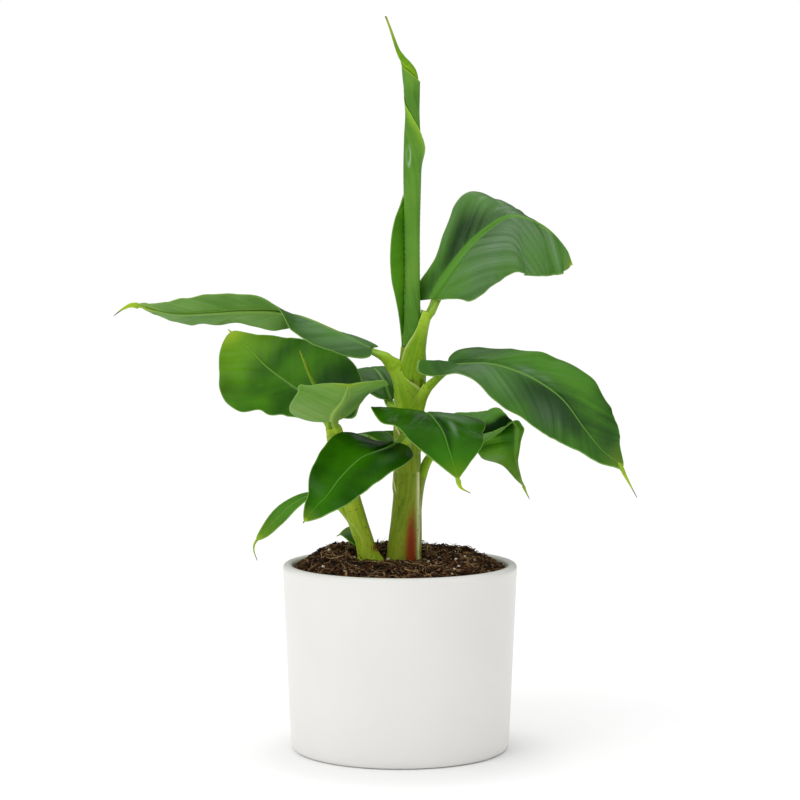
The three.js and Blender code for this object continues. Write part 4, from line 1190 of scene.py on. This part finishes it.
def make_potting_mix():
    """The mix's rough bed, and the crumbs and fibres that lie loose on it."""
    rng = np.random.default_rng(4)
    angle = full_turn(180)
    r = (np.linspace(0.02, 1, 60) * WALL)[:, None]
    x, y = r * np.cos(angle), r * np.sin(angle)
    z = mix_height(x, y) + rng.normal(0, 0.35, x.shape) * (r < WALL - 1)
    body = np.stack([x, y, z], axis=-1)
    base = body[-1:].copy()
    base[..., 2] = BED_FOOT
    points, faces = capped_rings(np.concatenate([base, body[::-1]]))
    dark = make_soil("peat", (0.004, 0.0015, 0.0005), (0.04, 0.015, 0.005))
    bed = make_piece("peat_bed", points, faces, [dark], smooth=False)
    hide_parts("potting_mix")
    brown = make_soil("peat_crumb", (0.03, 0.011, 0.003), (0.17, 0.072, 0.024))
    tan = make_soil("bark_chip", (0.14, 0.06, 0.02), (0.42, 0.25, 0.12))
    straw = make_soil("coir_fibre", (0.2, 0.11, 0.04), (0.52, 0.36, 0.18))
    grit = make_soil("pale_grit", (0.55, 0.48, 0.34), (0.8, 0.74, 0.6))
    make_crumbs("dark_crumbs", 3400, (0.4, 2.9), (1, 0.8, 0.7), dark, 11)
    make_crumbs("brown_crumbs", 1700, (0.3, 2.2), (1, 0.7, 0.5), brown, 12)
    make_crumbs("bark_chips", 620, (0.7, 3.6), (1, 0.28, 0.2), tan, 13, lift=0.7)
    make_crumbs("grit_grains", 110, (0.6, 1.9), (1, 0.9, 0.9), grit, 14, lift=1.1)
    make_fibres("coir_strands", 420, straw, 15)
    make_fibres("dark_strands", 1100, brown, 16, length=(5, 18), thick=0.28, rise=0.9)
    make_fibres("long_strands", 34, straw, 17, length=(24, 44), thick=0.34)


# ------------------------------------------------------------------ the plant

make_pot()
make_potting_mix()
make_stem("stem_main", MAIN_STEM, "main_stem", "stem", blush_at=296)
make_stem("stem_sucker", SUCKER_STEM, "sucker_stem", "young", blush_at=345, lit=0.2, blushing=0.3)
make_dry_scale("dry_scale_right", "sucker", facing=330, wrap=48, tall=16, red=0.9)
make_dry_scale("dry_scale_left", "sucker", facing=215, wrap=30, tall=8, red=0)
for leaf_name, leaf in LEAVES.items():
    leaf_rib = midrib(leaf)
    make_stalk(leaf_name, leaf, leaf_rib)
    make_sheath(leaf_name, leaf, leaf_rib)
    make_blade(leaf_name, leaf, leaf_rib)
make_spear()
make_hood()
make_flap()
make_sucker_spear()


# ------------------------------------------------------------------ floor, light and camera

FLOOR_HALF = 30         # metres


def make_floor():
    """A white floor that glows a little away from the pot. The glow is painted light that lifts the
    floor to white; it is left off near the pot, which deepens the shade round it.
    """
    mesh = bpy.data.meshes.new("floor")
    corners = [(-1, -1), (1, -1), (1, 1), (-1, 1)]
    mesh.from_pydata([(x * FLOOR_HALF, y * FLOOR_HALF, 0) for x, y in corners], [], [(0, 1, 2, 3)])
    material, n, shader = start_material("floor_white")
    away = n.add("VectorMath", {0: n.place(), 1: (0, -0.03, 0)}, operation="DISTANCE")
    n.feed(shader, {
        "Base Color": (0.9, 0.9, 0.9), "Roughness": 1, "Specular IOR Level": 0,
        "Emission Color": n.fade(away.outputs["Value"], 0.085, 0.15), "Emission Strength": 0.1,
    })
    mesh.materials.append(material)
    floor = bpy.data.objects.new("floor", mesh)
    bpy.context.collection.objects.link(floor)


# What shiny faces mirror: [direction, where the panel's glow starts and is full, brightness].
MIRRORED_PANELS = [
    ((0.05, 0.38, 0.92), 0.8, 0.97, 1.1), ((0.7, -0.3, 0.6), 0.78, 0.96, 0.9),
]


def make_world():
    """White all round to the eye; as light, brightest from above and from the left."""
    world = bpy.data.worlds.new("studio")
    bpy.context.scene.world = world
    world.use_nodes = True
    n = Nodes(world.node_tree)
    direction = n.add("TexCoord").outputs["Generated"]
    towards = n.add("VectorMath", {0: direction, 1: (-0.28, -0.08, 0.95)},
                    operation="DOT_PRODUCT").outputs["Value"]
    light = n.fade(towards, -0.35, 0.95, 0.36, 1.2)
    ray = n.add("LightPath")
    mirrored = 0.16
    for aim, start, stop, power in MIRRORED_PANELS:
        facing = n.add("VectorMath", {0: direction, 1: aim}, operation="DOT_PRODUCT")
        mirrored = n.math("ADD", n.fade(facing.outputs["Value"], start, stop, 0.0, power), mirrored)
    unseen = n.fade(ray.outputs["Is Glossy Ray"], 0.0, 1.0, light, mirrored)
    strength = n.fade(ray.outputs["Is Camera Ray"], 0.0, 1.0, unseen, 1.0)
    sky = n.add("Background", {"Color": (1, 1, 1), "Strength": strength})
    n.add("OutputWorld", {"Surface": sky.outputs[0]})


def add_panel(name, place, target, size, power):
    """A soft panel of light, turned to face a point."""
    light = bpy.data.lights.new(name, "AREA")
    light.shape = "SQUARE"
    light.size = size
    light.energy = power
    panel = bpy.data.objects.new(name, light)
    panel.location = place
    aim = np.subtract(target, place)
    turn = math.atan2(aim[0], -aim[1])
    panel.rotation_euler = (math.atan2(np.hypot(aim[0], aim[1]), -aim[2]), 0, math.pi + turn)
    bpy.context.collection.objects.link(panel)


# The camera: its place in metres, how many degrees it looks down, and its lens and film in mm.
CAMERA_PLACE = (0, -1.965, 0.417)
CAMERA_DOWN = 3.9
LENS, FILM = 109.9, 36


def add_camera():
    """The camera, in front of the pot and a little above its middle."""
    lens = bpy.data.cameras.new("camera")
    lens.lens = LENS
    lens.sensor_width = FILM
    camera = bpy.data.objects.new("camera", lens)
    camera.location = CAMERA_PLACE
    camera.rotation_euler = (math.radians(90 - CAMERA_DOWN), 0, 0)
    bpy.context.collection.objects.link(camera)
    bpy.context.scene.camera = camera


make_floor()
make_world()
add_panel("key_light", place=(-1.4, -1.5, 2.4), target=(0, 0, 0.3), size=1.4, power=11)
add_camera()
bpy.context.scene.view_settings.view_transform = "Standard"
